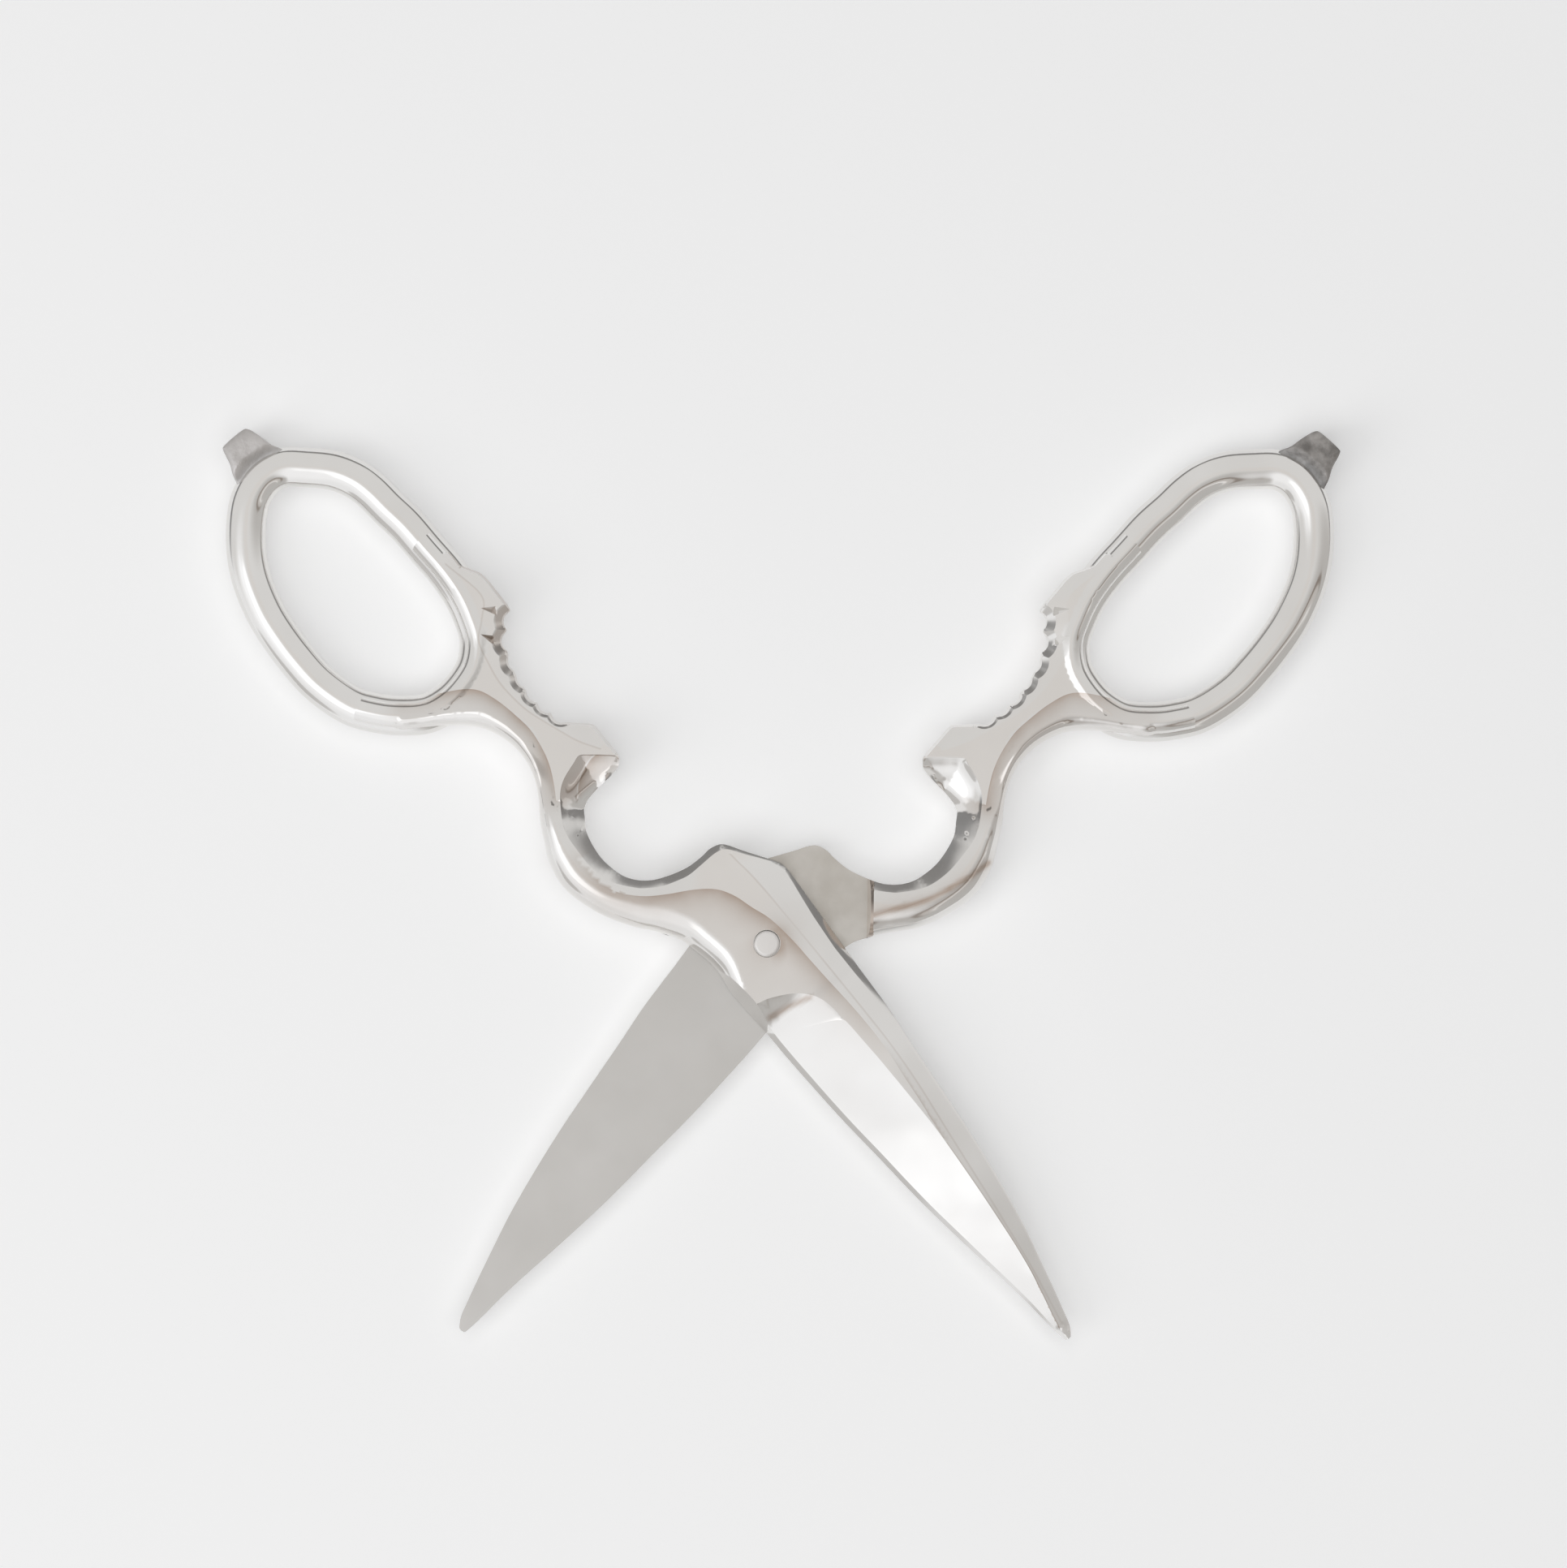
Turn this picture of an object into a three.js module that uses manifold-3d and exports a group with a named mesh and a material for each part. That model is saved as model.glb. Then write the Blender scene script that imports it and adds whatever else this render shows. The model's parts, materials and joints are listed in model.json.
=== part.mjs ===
// All-metal forged kitchen scissors, lying open.
// Millimetres. +Z points up, +Y runs along the line of symmetry towards the bows.
// The origin is on the pivot axis, on the surface that the scissors lie on.
// Two matching forged halves turn about one rivet. Each half is drawn once, closed,
// with its outer face up and its shearing face at zero height, and is then placed.

import * as THREE from "three";
import { mergeVertices } from "three/addons/utils/BufferGeometryUtils.js";
import Module from "manifold-3d";

const wasm = await Module();
wasm.setup();

// Reach of each blade from the pivot axis, length of each handle from the joint's
// shoulder to the end of its bow, and spread of each handle from the line of symmetry.
// The halves are forged alike and finished by hand, so each has its own values.
const UPPER_BLADE_REACH = 84;
const UPPER_HANDLE_LENGTH = 96.3;
const UPPER_HANDLE_SPREAD = 36.5;
const LOWER_BLADE_REACH = 83.4;
const LOWER_HANDLE_LENGTH = 99.3;
const LOWER_HANDLE_SPREAD = 37.4;

// How far each blade is set towards its edge, in degrees.
const UPPER_BLADE_SET = 0;
const LOWER_BLADE_SET = 0.8;

// Joint plate around the rivet.
const JOINT_REACH = 18;
const JOINT_HALF_WIDTH = 10;
const HALF_THICKNESS = 4.7;
const SHEAR_CLEARANCE = 0.3;
const STEP_DRAFT = 0.6;

// Blade grinding.
const EDGE_LIP = 0.25;
const EDGE_FACET_WIDTH = 0.9;
const EDGE_FACET_RISE = 0.65;
const GRIND_OVERRUN = 1.2;

// Bow, web and tab.
const BOW_BAR_WIDTH = 5.3;
const BOW_THICKNESS = 6.8;
const WEB_THICKNESS = 6.2;
const WEB_DRAFT = 1.1;
const WEB_RIM = 1.9;
const TAB_THICKNESS = 5.6;
const TAB_DRAFT = 0.9;

// Toothed bay of the web.
const TOOTH_RADIUS = 2.5;
const TOOTH_DRAFT = 1.0;

// Rivet.
const RIVET_HEAD_RADIUS = 2.2;
const RIVET_HEAD_HEIGHT = 1.7;
const RIVET_HEAD_PROUD = 0.35;
const RIVET_HEAD_BEVEL = 0.4;
const RIVET_SHANK_RADIUS = 1.6;
const RIVET_PEEN_RADIUS = 2.5;
const RIVET_PEEN_HEIGHT = 0.9;
const RIVET_CLEARANCE = 0.1;

// How far each half is turned from closed, in degrees, and one overrun for all cuts.
const UPPER_OPENING = 38.4;
const LOWER_OPENING = 38.1;
const CUT_OVERRUN = 5;

// Slopes as rise over run, roundness of a forged crown, and faceting.
const BEVEL_SLOPE = 0.283;
const HEEL_SLOPE = 1.15;
const CROWN_POWER = 2.4;
const ROUND_SIDES = 48;
const TOOTH_SIDES = 24;
const BOW_STEPS = 56;
const BOW_SIDES = 14;
const WELD_TOLERANCE = 1e-5;
const CAP_BEND = 1e-6;

// Stem of the half, from inside the bow to the shoulder: outer x and y, inner x and y,
// as shares of the handle's spread and length, then crown height as a share of thickness.
const stemShares = [
  [-0.78, 0.53, -0.72, 0.54, 0.55],
  [-0.759, 0.502, -0.655, 0.527, 0.72],
  [-0.667, 0.478, -0.565, 0.506, 0.75],
  [-0.573, 0.457, -0.476, 0.489, 0.8],
  [-0.495, 0.435, -0.381, 0.472, 0.84],
  [-0.441, 0.413, -0.324, 0.452, 0.87],
  [-0.405, 0.387, -0.295, 0.424, 0.9],
  [-0.384, 0.361, -0.27, 0.384, 0.92],
  [-0.376, 0.332, -0.257, 0.342, 0.95],
  [-0.384, 0.305, -0.268, 0.306, 0.97],
  [-0.405, 0.28, -0.281, 0.271, 0.98],
  [-0.438, 0.256, -0.286, 0.235, 1],
  [-0.476, 0.235, -0.284, 0.207, 1],
  [-0.511, 0.212, -0.314, 0.184, 1],
  [-0.538, 0.19, -0.349, 0.162, 1],
  [-0.568, 0.166, -0.365, 0.135, 1],
  [-0.586, 0.141, -0.369, 0.106, 1],
  [-0.595, 0.114, -0.357, 0.08, 1],
  [-0.586, 0.086, -0.335, 0.057, 1],
  [-0.565, 0.06, -0.297, 0.038, 1],
  [-0.532, 0.029, -0.246, 0.023, 1],
  [-0.484, -0.002, -0.192, 0.014, 1],
];

// Joint plate: outer x and y, inner x and y, as shares of its half width and reach,
// then crown height as a share of thickness and how flat the plate is.
const jointShares = [
  [-1.59, 0.85, -0.495, 1.039, 1, 0],
  [-1.42, 0.744, -0.26, 1.014, 1, 0.35],
  [-1.28, 0.639, 0.01, 1.014, 1, 0.7],
  [-1.16, 0.542, 0.22, 1.025, 1, 1],
  [-1.1, 0.467, 0.43, 0.983, 1, 1],
  [-1.05, 0.356, 0.63, 0.822, 1, 1],
  [-1.0, 0.244, 0.77, 0.711, 1, 1],
  [-0.965, 0.139, 0.94, 0.572, 1, 1],
  [-0.955, 0.044, 1.02, 0.478, 1, 1],
  [-0.98, -0.067, 1.03, 0.333, 1, 1],
  [-1.0, -0.178, 1.02, 0.167, 1, 1],
  [-0.985, -0.306, 1.01, -0.056, 1, 1],
  [-0.97, -0.444, 1.0, -0.278, 1, 1],
];

// Blade: edge x, spine x and y as shares of the joint's half width and of the blade's
// reach, then crown height as a share of thickness.
const bladeShares = [
  [-0.95, 0.99, -0.12, 0.97],
  [-0.93, 0.98, -0.155, 0.93],
  [-0.915, 0.975, -0.202, 0.89],
  [-0.88, 0.96, -0.264, 0.86],
  [-0.835, 0.91, -0.336, 0.83],
  [-0.78, 0.87, -0.405, 0.78],
  [-0.71, 0.83, -0.476, 0.72],
  [-0.645, 0.785, -0.55, 0.66],
  [-0.575, 0.725, -0.619, 0.6],
  [-0.485, 0.65, -0.69, 0.53],
  [-0.385, 0.555, -0.762, 0.45],
  [-0.28, 0.43, -0.833, 0.36],
  [-0.2, 0.32, -0.893, 0.29],
  [-0.15, 0.215, -0.946, 0.23],
  [-0.11, 0.14, -0.98, 0.19],
  [-0.075, 0.04, -1.001, 0.16],
];

// Where the points of a crown lie across the stem, and how high each one is.
const acrossShares = [0, 0.03, 0.1, 0.2, 0.34, 0.5, 0.66, 0.8, 0.9, 0.97, 1];
const roundCrownShares = acrossShares.map((share) => crownOf(2 * share - 1));
const plateCrownShares = [0.1, 0.42, 0.74, 0.93, 1, 1, 1, 1, 0.9, 0.5, 0.22];

// Rim of a forged plate: how far in and how far up each layer lies, as shares of the
// draft and of the rim's height.
const rimShares = [
  [0, 0],
  [0.3, 0.7],
  [1, 1],
];

// Step between the flat shearing face and the full shank, as shares of the joint's
// half width and reach: its inner end and its outer end.
const stepShares = [
  [-0.716, 1.062],
  [-1.235, 0.697],
];

// Plunge of the grinding: x of each column, its rim and its foot, as shares of the
// joint's half width and reach, then the drop along the hollow between rim and foot.
const plungeShares = [
  [-1.08, -0.367, -0.733],
  [-0.83, -0.378, -0.772],
  [-0.68, -0.4, -0.794],
  [-0.37, -0.456, -0.844],
  [-0.07, -0.556, -0.906],
  [0.13, -0.689, -0.956],
  [0.23, -0.9, -0.978],
  [0.6, -1.1, -1.15],
];
const hollowShares = [
  [0, 0],
  [0.2, 0.48],
  [0.45, 0.78],
  [0.7, 0.94],
  [1, 1],
];
const bevelAcrossShares = [0.12, 0.25, 0.4, 0.55, 0.75, 1];
const BEVEL_END_SHARE = -1.06;

// Rows of the edge between which the heel's steep facet runs, first and last.
const HEEL_FIRST_ROW = 4;
const HEEL_LAST_ROW = 13;

// Middle line of the bow's bar, as shares of the handle's spread and length.
const bowShares = [
  [-0.719, 0.523],
  [-0.797, 0.552],
  [-0.868, 0.59],
  [-0.919, 0.651],
  [-0.932, 0.709],
  [-0.93, 0.765],
  [-0.915, 0.813],
  [-0.876, 0.867],
  [-0.818, 0.912],
  [-0.735, 0.954],
  [-0.649, 0.983],
  [-0.543, 0.997],
  [-0.443, 0.991],
  [-0.357, 0.966],
  [-0.268, 0.934],
  [-0.211, 0.898],
  [-0.184, 0.863],
  [-0.17, 0.823],
  [-0.151, 0.778],
  [-0.143, 0.724],
  [-0.135, 0.673],
  [-0.141, 0.624],
  [-0.165, 0.582],
  [-0.208, 0.541],
  [-0.295, 0.508],
  [-0.405, 0.492],
  [-0.508, 0.488],
  [-0.614, 0.496],
];

// Outline of the web with the opener's hook and the toothed bay, hook point first.
const webShares = [
  [-0.02, 0.228],
  [-0.016, 0.238],
  [-0.022, 0.3],
  [-0.03, 0.306],
  [-0.093, 0.326],
  [-0.128, 0.338],
  [-0.139, 0.362],
  [-0.165, 0.384],
  [-0.175, 0.404],
  [-0.176, 0.441],
  [-0.155, 0.482],
  [-0.098, 0.519],
  [-0.01, 0.547],
  [-0.004, 0.556],
  [-0.006, 0.618],
  [-0.014, 0.634],
  [-0.06, 0.662],
  [-0.09, 0.69],
  [-0.14, 0.69],
  [-0.14, 0.624],
  [-0.19, 0.56],
  [-0.26, 0.51],
  [-0.42, 0.485],
  [-0.36, 0.43],
  [-0.33, 0.38],
  [-0.32, 0.33],
  [-0.335, 0.28],
  [-0.36, 0.24],
  [-0.355, 0.2],
  [-0.3, 0.194],
  [-0.262, 0.203],
  [-0.2, 0.208],
  [-0.105, 0.211],
  [-0.05, 0.216],
];

// Bottoms of the scallops of the bay.
const toothShares = [
  [-0.074, 0.527],
  [-0.142, 0.496],
  [-0.178, 0.459],
  [-0.19, 0.421],
  [-0.181, 0.384],
];
const bayCentreShares = [0.35, 0.428];

// Outline of the forged tab at the far end of the bow.
const tabShares = [
  [-0.66, 0.99],
  [-0.655, 1.025],
  [-0.63, 1.05],
  [-0.615, 1.077],
  [-0.592, 1.083],
  [-0.492, 1.085],
  [-0.46, 1.08],
  [-0.436, 1.058],
  [-0.42, 1.035],
  [-0.39, 1.012],
  [-0.42, 0.985],
  [-0.543, 0.997],
];

// Height of a rounded crown at a place from -1 to 1 across it.
function crownOf(place) {
  const inner = Math.max(0, 1 - Math.pow(Math.abs(place), CROWN_POWER));
  return Math.pow(inner, 1 / CROWN_POWER);
}

// Turns a three.js geometry into a manifold-3d solid.
function solidFrom(geometry) {
  const bare = geometry.index ? geometry.toNonIndexed() : geometry.clone();
  bare.deleteAttribute("normal");
  bare.deleteAttribute("uv");
  const merged = mergeVertices(bare, WELD_TOLERANCE);
  return new wasm.Manifold(
    new wasm.Mesh({
      numProp: 3,
      vertProperties: merged.attributes.position.array,
      triVerts: new Uint32Array(merged.index.array),
    }),
  );
}

// Turns a solid back into a three.js geometry.
function geometryFrom(solid) {
  const mesh = solid.getMesh();
  const positions = new Float32Array(mesh.numVert * 3);
  for (let i = 0; i < mesh.numVert; i += 1) {
    const start = i * mesh.numProp;
    positions.set(mesh.vertProperties.subarray(start, start + 3), i * 3);
  }
  const geometry = new THREE.BufferGeometry();
  geometry.setAttribute("position", new THREE.BufferAttribute(positions, 3));
  geometry.setIndex(new THREE.BufferAttribute(mesh.triVerts, 1));
  geometry.computeVertexNormals();
  return geometry;
}

// Makes a solid from a list of points and triangles, whichever way they are wound.
function solidOf(points, triangles) {
  const geometry = new THREE.BufferGeometry();
  const positions = new Float32Array(points.flatMap((p) => [p.x, p.y, p.z]));
  geometry.setAttribute("position", new THREE.BufferAttribute(positions, 3));
  geometry.setIndex(triangles.flat());
  const solid = solidFrom(geometry);
  if (solid.volume() > 0) return solid;
  geometry.setIndex(triangles.map(([a, b, c]) => [a, c, b]).flat());
  return solidFrom(geometry);
}

// Triangles of the walls between closed sections of equal length.
function wallTriangles(sectionCount, pointCount, ring) {
  const triangles = [];
  const spans = ring ? sectionCount : sectionCount - 1;
  for (let i = 0; i < spans; i += 1) {
    const here = i * pointCount;
    const next = ((i + 1) % sectionCount) * pointCount;
    for (let k = 0; k < pointCount; k += 1) {
      const other = (k + 1) % pointCount;
      triangles.push([here + k, here + other, next + other]);
      triangles.push([here + k, next + other, next + k]);
    }
  }
  return triangles;
}

// Joins closed sections, each an upper line and a lower line of equal length that runs
// back below it, into one solid with a cap at each end.
function lineLoft(sections) {
  const count = sections[0].length;
  const columns = count / 2;
  const last = (sections.length - 1) * count;
  const triangles = wallTriangles(sections.length, count, false);
  for (let k = 0; k < columns - 1; k += 1) {
    const back = count - 1 - k;
    triangles.push([k, back - 1, k + 1], [k, back, back - 1]);
    triangles.push([last + k, last + k + 1, last + back - 1]);
    triangles.push([last + k, last + back - 1, last + back]);
  }
  return solidOf(sections.flat(), triangles);
}

// Joins closed sections into a closed ring.
function ringLoft(sections) {
  const triangles = wallTriangles(sections.length, sections[0].length, true);
  return solidOf(sections.flat(), triangles);
}

// A cutter whose underside follows a grid of points and whose top is flat.
function blanket(grid, topHeight) {
  return lineLoft(
    grid.map((row) => {
      const top = row.map((p) => new THREE.Vector3(p.x, p.y, topHeight)).reverse();
      return [...row, ...top];
    }),
  );
}

// Outline moved inwards by a distance, each corner along its own mitre.
function insetOutline(outline, distance) {
  const side = Math.sign(THREE.ShapeUtils.area(outline));
  return outline.map((at, i) => {
    const before = outline[(i + outline.length - 1) % outline.length];
    const after = outline[(i + 1) % outline.length];
    const from = at.clone().sub(before).normalize();
    const to = after.clone().sub(at).normalize();
    const mitre = new THREE.Vector2(-from.y - to.y, from.x + to.x);
    const reach = (2 * distance * side) / Math.max(mitre.lengthSq(), 1);
    return at.clone().addScaledVector(mitre, reach);
  });
}

// Plate with drafted rims, centred on the shearing plane, from an outline in plan.
function draftedPlate(outline, thickness, draft, rim) {
  const count = outline.length;
  const layers = [];
  for (const side of [-1, 1]) {
    const half = rimShares.map(([inward, upward]) => {
      const height = side * (thickness / 2 - rim + rim * upward);
      const line = insetOutline(outline, draft * inward);
      return line.map((p) => new THREE.Vector3(p.x, p.y, height));
    });
    layers.push(...(side < 0 ? half.reverse() : half));
  }
  const triangles = wallTriangles(layers.length, count, false);
  const bent = outline.map((p) => new THREE.Vector2(p.x + CAP_BEND * p.y * p.y, p.y));
  const turnsLeft = THREE.ShapeUtils.area(outline) > 0;
  const last = (layers.length - 1) * count;
  for (const [p, q, r] of THREE.ShapeUtils.triangulateShape(bent, [])) {
    const [u, v] = turnsLeft ? [q, r] : [r, q];
    triangles.push([p, v, u], [last + p, last + u, last + v]);
  }
  return solidOf(layers.flat(), triangles);
}

function turnedSolid(profile, sides) {
  const points = profile.map(([radius, height]) => new THREE.Vector2(radius, height));
  const geometry = new THREE.LatheGeometry(points, sides);
  geometry.rotateX(Math.PI / 2);
  return solidFrom(geometry);
}

function jointPoint(xShare, yShare) {
  return new THREE.Vector2(xShare * JOINT_HALF_WIDTH, yShare * JOINT_REACH);
}

// One forged half, closed, outer face up, shearing face at zero height.
class ForgedHalf {
  constructor({ bladeReach, bladeSet, handleLength, handleSpread }) {
    this.bladeReach = bladeReach;
    this.bladeSet = THREE.MathUtils.degToRad(bladeSet);
    this.handleLength = handleLength;
    this.handleSpread = handleSpread;
    this.rows = this.stemRows();
    this.edge = this.rows.filter((row) => row.flat === 1).map((row) => row.outer);
  }

  handlePoint([xShare, yShare]) {
    const y = JOINT_REACH + yShare * this.handleLength;
    return new THREE.Vector2(xShare * this.handleSpread, y);
  }

  // A blade's place, turned about the pivot by the blade's set.
  bladePoint(xShare, yShare) {
    const at = new THREE.Vector2(xShare * JOINT_HALF_WIDTH, yShare * this.bladeReach);
    return at.rotateAround(new THREE.Vector2(), -this.bladeSet);
  }

  // Rows of the stem: outer and inner points in plan, crown height, and flatness.
  stemRows() {
    const rows = [];
    for (const [ox, oy, ix, iy, crown] of stemShares) {
      const outer = this.handlePoint([ox, oy]);
      rows.push({ outer, inner: this.handlePoint([ix, iy]), crown, flat: 0 });
    }
    for (const [ox, oy, ix, iy, crown, flat] of jointShares) {
      rows.push({ outer: jointPoint(ox, oy), inner: jointPoint(ix, iy), crown, flat });
    }
    for (const [edge, spine, y, crown] of bladeShares) {
      const outer = this.bladePoint(edge, y);
      rows.push({ outer, inner: this.bladePoint(spine, y), crown, flat: 1 });
    }
    return rows;
  }

  // The stem from the bow through the joint to the point, the same above and below.
  stem() {
    const rim = SHEAR_CLEARANCE / 4;
    return lineLoft(
      this.rows.map((row) => {
        const upper = acrossShares.map((share, k) => {
          const at = row.outer.clone().lerp(row.inner, share);
          const rounded = roundCrownShares[k];
          const crown = THREE.MathUtils.lerp(rounded, plateCrownShares[k], row.flat);
          const height = Math.max(rim, crown * row.crown * HALF_THICKNESS);
          return new THREE.Vector3(at.x, at.y, height);
        });
        const lower = upper.map((p) => new THREE.Vector3(p.x, p.y, -p.z)).reverse();
        return [...upper, ...lower];
      }),
    );
  }

  // Cuts all below the shearing face on the pivot's side of the step.
  faceCutter() {
    const [inner, outer] = stepShares.map(([x, y]) => jointPoint(x, y));
    const along = outer.clone().sub(inner).normalize();
    const away = new THREE.Vector2(along.y, -along.x);
    if (away.dot(inner) < 0) away.negate();
    const reach = this.bladeReach + CUT_OVERRUN;
    const face = SHEAR_CLEARANCE / 2;
    const depth = -(HALF_THICKNESS + CUT_OVERRUN);
    const drafted = (STEP_DRAFT * (face - depth)) / HALF_THICKNESS;
    const section = (shift) => {
      const from = inner.clone().addScaledVector(along, shift);
      const corner = (out, height) => {
        const at = from.clone().addScaledVector(away, out);
        return new THREE.Vector3(at.x, at.y, height);
      };
      return [
        corner(-STEP_DRAFT, face),
        corner(-2 * reach, face),
        corner(-2 * reach, depth),
        corner(drafted - STEP_DRAFT, depth),
      ];
    };
    return lineLoft([section(-reach), section(reach)]);
  }

  // The cutting edge's x at a place along the blade.
  edgeAt(y) {
    for (let i = 1; i < this.edge.length; i += 1) {
      const before = this.edge[i - 1];
      const after = this.edge[i];
      if (y >= after.y) {
        const share = THREE.MathUtils.clamp((before.y - y) / (before.y - after.y), 0, 1);
        return THREE.MathUtils.lerp(before.x, after.x, share);
      }
    }
    return this.edge[this.edge.length - 1].x;
  }

  // Height of the ground bevel, with the steeper facet along the edge itself.
  bevelHeight(x, y) {
    const inward = x - this.edgeAt(y) - EDGE_FACET_WIDTH;
    const foot = EDGE_LIP + EDGE_FACET_RISE;
    if (inward > 0) return foot + inward * BEVEL_SLOPE;
    return foot + (inward * EDGE_FACET_RISE) / EDGE_FACET_WIDTH;
  }

  // Cuts the hollow plunge and the long bevel from the ridge down to the edge.
  bevelCutter() {
    const rimHeight = HALF_THICKNESS + EDGE_LIP;
    const grid = hollowShares.map(([along, drop]) =>
      plungeShares.map(([x, rim, foot]) => {
        const at = jointPoint(x, THREE.MathUtils.lerp(rim, foot, along));
        const floor = this.bevelHeight(at.x, foot * JOINT_REACH);
        return new THREE.Vector3(at.x, at.y, THREE.MathUtils.lerp(rimHeight, floor, drop));
      }),
    );
    const span = JOINT_HALF_WIDTH + GRIND_OVERRUN;
    const places = bladeShares.slice(3).map(([, , yShare]) => yShare);
    for (const yShare of [...places, BEVEL_END_SHARE]) {
      const y = yShare * this.bladeReach;
      const edge = this.edgeAt(y);
      const xs = [edge - GRIND_OVERRUN, edge + EDGE_FACET_WIDTH];
      for (const share of bevelAcrossShares) xs.push(edge + EDGE_FACET_WIDTH + share * span);
      grid.push(xs.map((x) => new THREE.Vector3(x, y, this.bevelHeight(x, y))));
    }
    return blanket(grid, HALF_THICKNESS + CUT_OVERRUN);
  }

  // Cuts the steep facet along the heel of the edge. Its first row is held back.
  heelCutter() {
    const grid = this.edge.slice(HEEL_FIRST_ROW, HEEL_LAST_ROW).map((outer, i) => {
      const slide = i === 0 ? EDGE_FACET_WIDTH : 0;
      const shifts = [-GRIND_OVERRUN, 0, 2 * GRIND_OVERRUN, 4 * GRIND_OVERRUN];
      return shifts.map((shift) => {
        const height = EDGE_LIP + (shift + slide) * HEEL_SLOPE;
        return new THREE.Vector3(outer.x + shift, outer.y, height);
      });
    });
    return blanket(grid, HALF_THICKNESS + CUT_OVERRUN);
  }

  // The bow: a round bar along a closed curve.
  bow() {
    const points = bowShares.map((shares) => {
      const at = this.handlePoint(shares);
      return new THREE.Vector3(at.x, at.y, 0);
    });
    const curve = new THREE.CatmullRomCurve3(points, true, "centripetal");
    const sections = [];
    for (let i = 0; i < BOW_STEPS; i += 1) {
      const at = curve.getPoint(i / BOW_STEPS);
      const ahead = curve.getTangent(i / BOW_STEPS);
      const section = [];
      for (let k = 0; k < BOW_SIDES; k += 1) {
        const angle = (2 * Math.PI * k) / BOW_SIDES;
        const across = (Math.cos(angle) * BOW_BAR_WIDTH) / 2;
        const up = (Math.sin(angle) * BOW_THICKNESS) / 2;
        const x = at.x - ahead.y * across;
        section.push(new THREE.Vector3(x, at.y + ahead.x * across, up));
      }
      sections.push(section);
    }
    return ringLoft(sections);
  }

  // The web with its scalloped bay.
  web() {
    const outline = webShares.map((shares) => this.handlePoint(shares));
    let web = draftedPlate(outline, WEB_THICKNESS, WEB_DRAFT, WEB_RIM);
    const half = WEB_THICKNESS / 2;
    const wide = TOOTH_RADIUS + TOOTH_DRAFT;
    const scallop = turnedSolid(
      [
        [0, -half - CUT_OVERRUN],
        [wide, -half - CUT_OVERRUN],
        [wide, -half],
        [TOOTH_RADIUS, WEB_RIM - half],
        [TOOTH_RADIUS, half - WEB_RIM],
        [wide, half],
        [wide, half + CUT_OVERRUN],
        [0, half + CUT_OVERRUN],
      ],
      TOOTH_SIDES,
    );
    const bayCentre = this.handlePoint(bayCentreShares);
    for (const shares of toothShares) {
      const bottom = this.handlePoint(shares);
      const outward = bayCentre.clone().sub(bottom).normalize();
      const centre = bottom.addScaledVector(outward, TOOTH_RADIUS);
      web = web.subtract(scallop.translate([centre.x, centre.y, 0]));
    }
    return web;
  }

  tab() {
    const outline = tabShares.map((shares) => this.handlePoint(shares));
    return draftedPlate(outline, TAB_THICKNESS, TAB_DRAFT, TAB_DRAFT);
  }

  solid() {
    return this.stem()
      .subtract(this.bevelCutter())
      .subtract(this.heelCutter())
      .add(this.bow())
      .add(this.web())
      .add(this.tab())
      .subtract(this.faceCutter());
  }
}

// Hole for the rivet's head end, through the upper half.
function headHole() {
  const seat = HALF_THICKNESS + RIVET_HEAD_PROUD - RIVET_HEAD_HEIGHT - RIVET_CLEARANCE;
  const narrow = RIVET_SHANK_RADIUS + RIVET_CLEARANCE;
  const wide = RIVET_HEAD_RADIUS + RIVET_CLEARANCE;
  const profile = [
    [0, -CUT_OVERRUN],
    [narrow, -CUT_OVERRUN],
    [narrow, seat],
    [wide, seat],
    [wide, HALF_THICKNESS + CUT_OVERRUN],
    [0, HALF_THICKNESS + CUT_OVERRUN],
  ];
  return turnedSolid(profile, ROUND_SIDES);
}

// Hole for the peened end, through the lower half, whose outer face is down.
function peenHole() {
  const mouth = -HALF_THICKNESS;
  const narrow = RIVET_SHANK_RADIUS + RIVET_CLEARANCE;
  const wide = RIVET_PEEN_RADIUS + RIVET_CLEARANCE;
  const profile = [
    [0, mouth - CUT_OVERRUN],
    [wide, mouth - CUT_OVERRUN],
    [wide, mouth],
    [narrow, mouth + RIVET_PEEN_HEIGHT],
    [narrow, CUT_OVERRUN],
    [0, CUT_OVERRUN],
  ];
  return turnedSolid(profile, ROUND_SIDES);
}

// The rivet: a bevelled head above, a plain shank, and a peened end flush below.
function rivetSolid() {
  const top = HALF_THICKNESS + RIVET_HEAD_PROUD;
  const underHead = top - RIVET_HEAD_HEIGHT;
  const foot = -HALF_THICKNESS;
  const profile = [
    [0, foot],
    [RIVET_PEEN_RADIUS, foot],
    [RIVET_SHANK_RADIUS, foot + RIVET_PEEN_HEIGHT],
    [RIVET_SHANK_RADIUS, underHead],
    [RIVET_HEAD_RADIUS, underHead],
    [RIVET_HEAD_RADIUS, top - RIVET_HEAD_BEVEL],
    [RIVET_HEAD_RADIUS - RIVET_HEAD_BEVEL, top],
    [0, top],
  ];
  return turnedSolid(profile, ROUND_SIDES);
}

const polishedSteel = { color: 0xc9c7c3, metalness: 1, roughness: 0.14 };
const groundSteel = { color: 0xb9b4ae, metalness: 1, roughness: 0.34 };
const rivetSteel = { color: 0xc4bfba, metalness: 1, roughness: 0.2 };

function pieceOf(name, solid, finish) {
  const material = new THREE.MeshStandardMaterial(finish);
  const mesh = new THREE.Mesh(geometryFrom(solid), material);
  mesh.name = name;
  return mesh;
}

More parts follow.
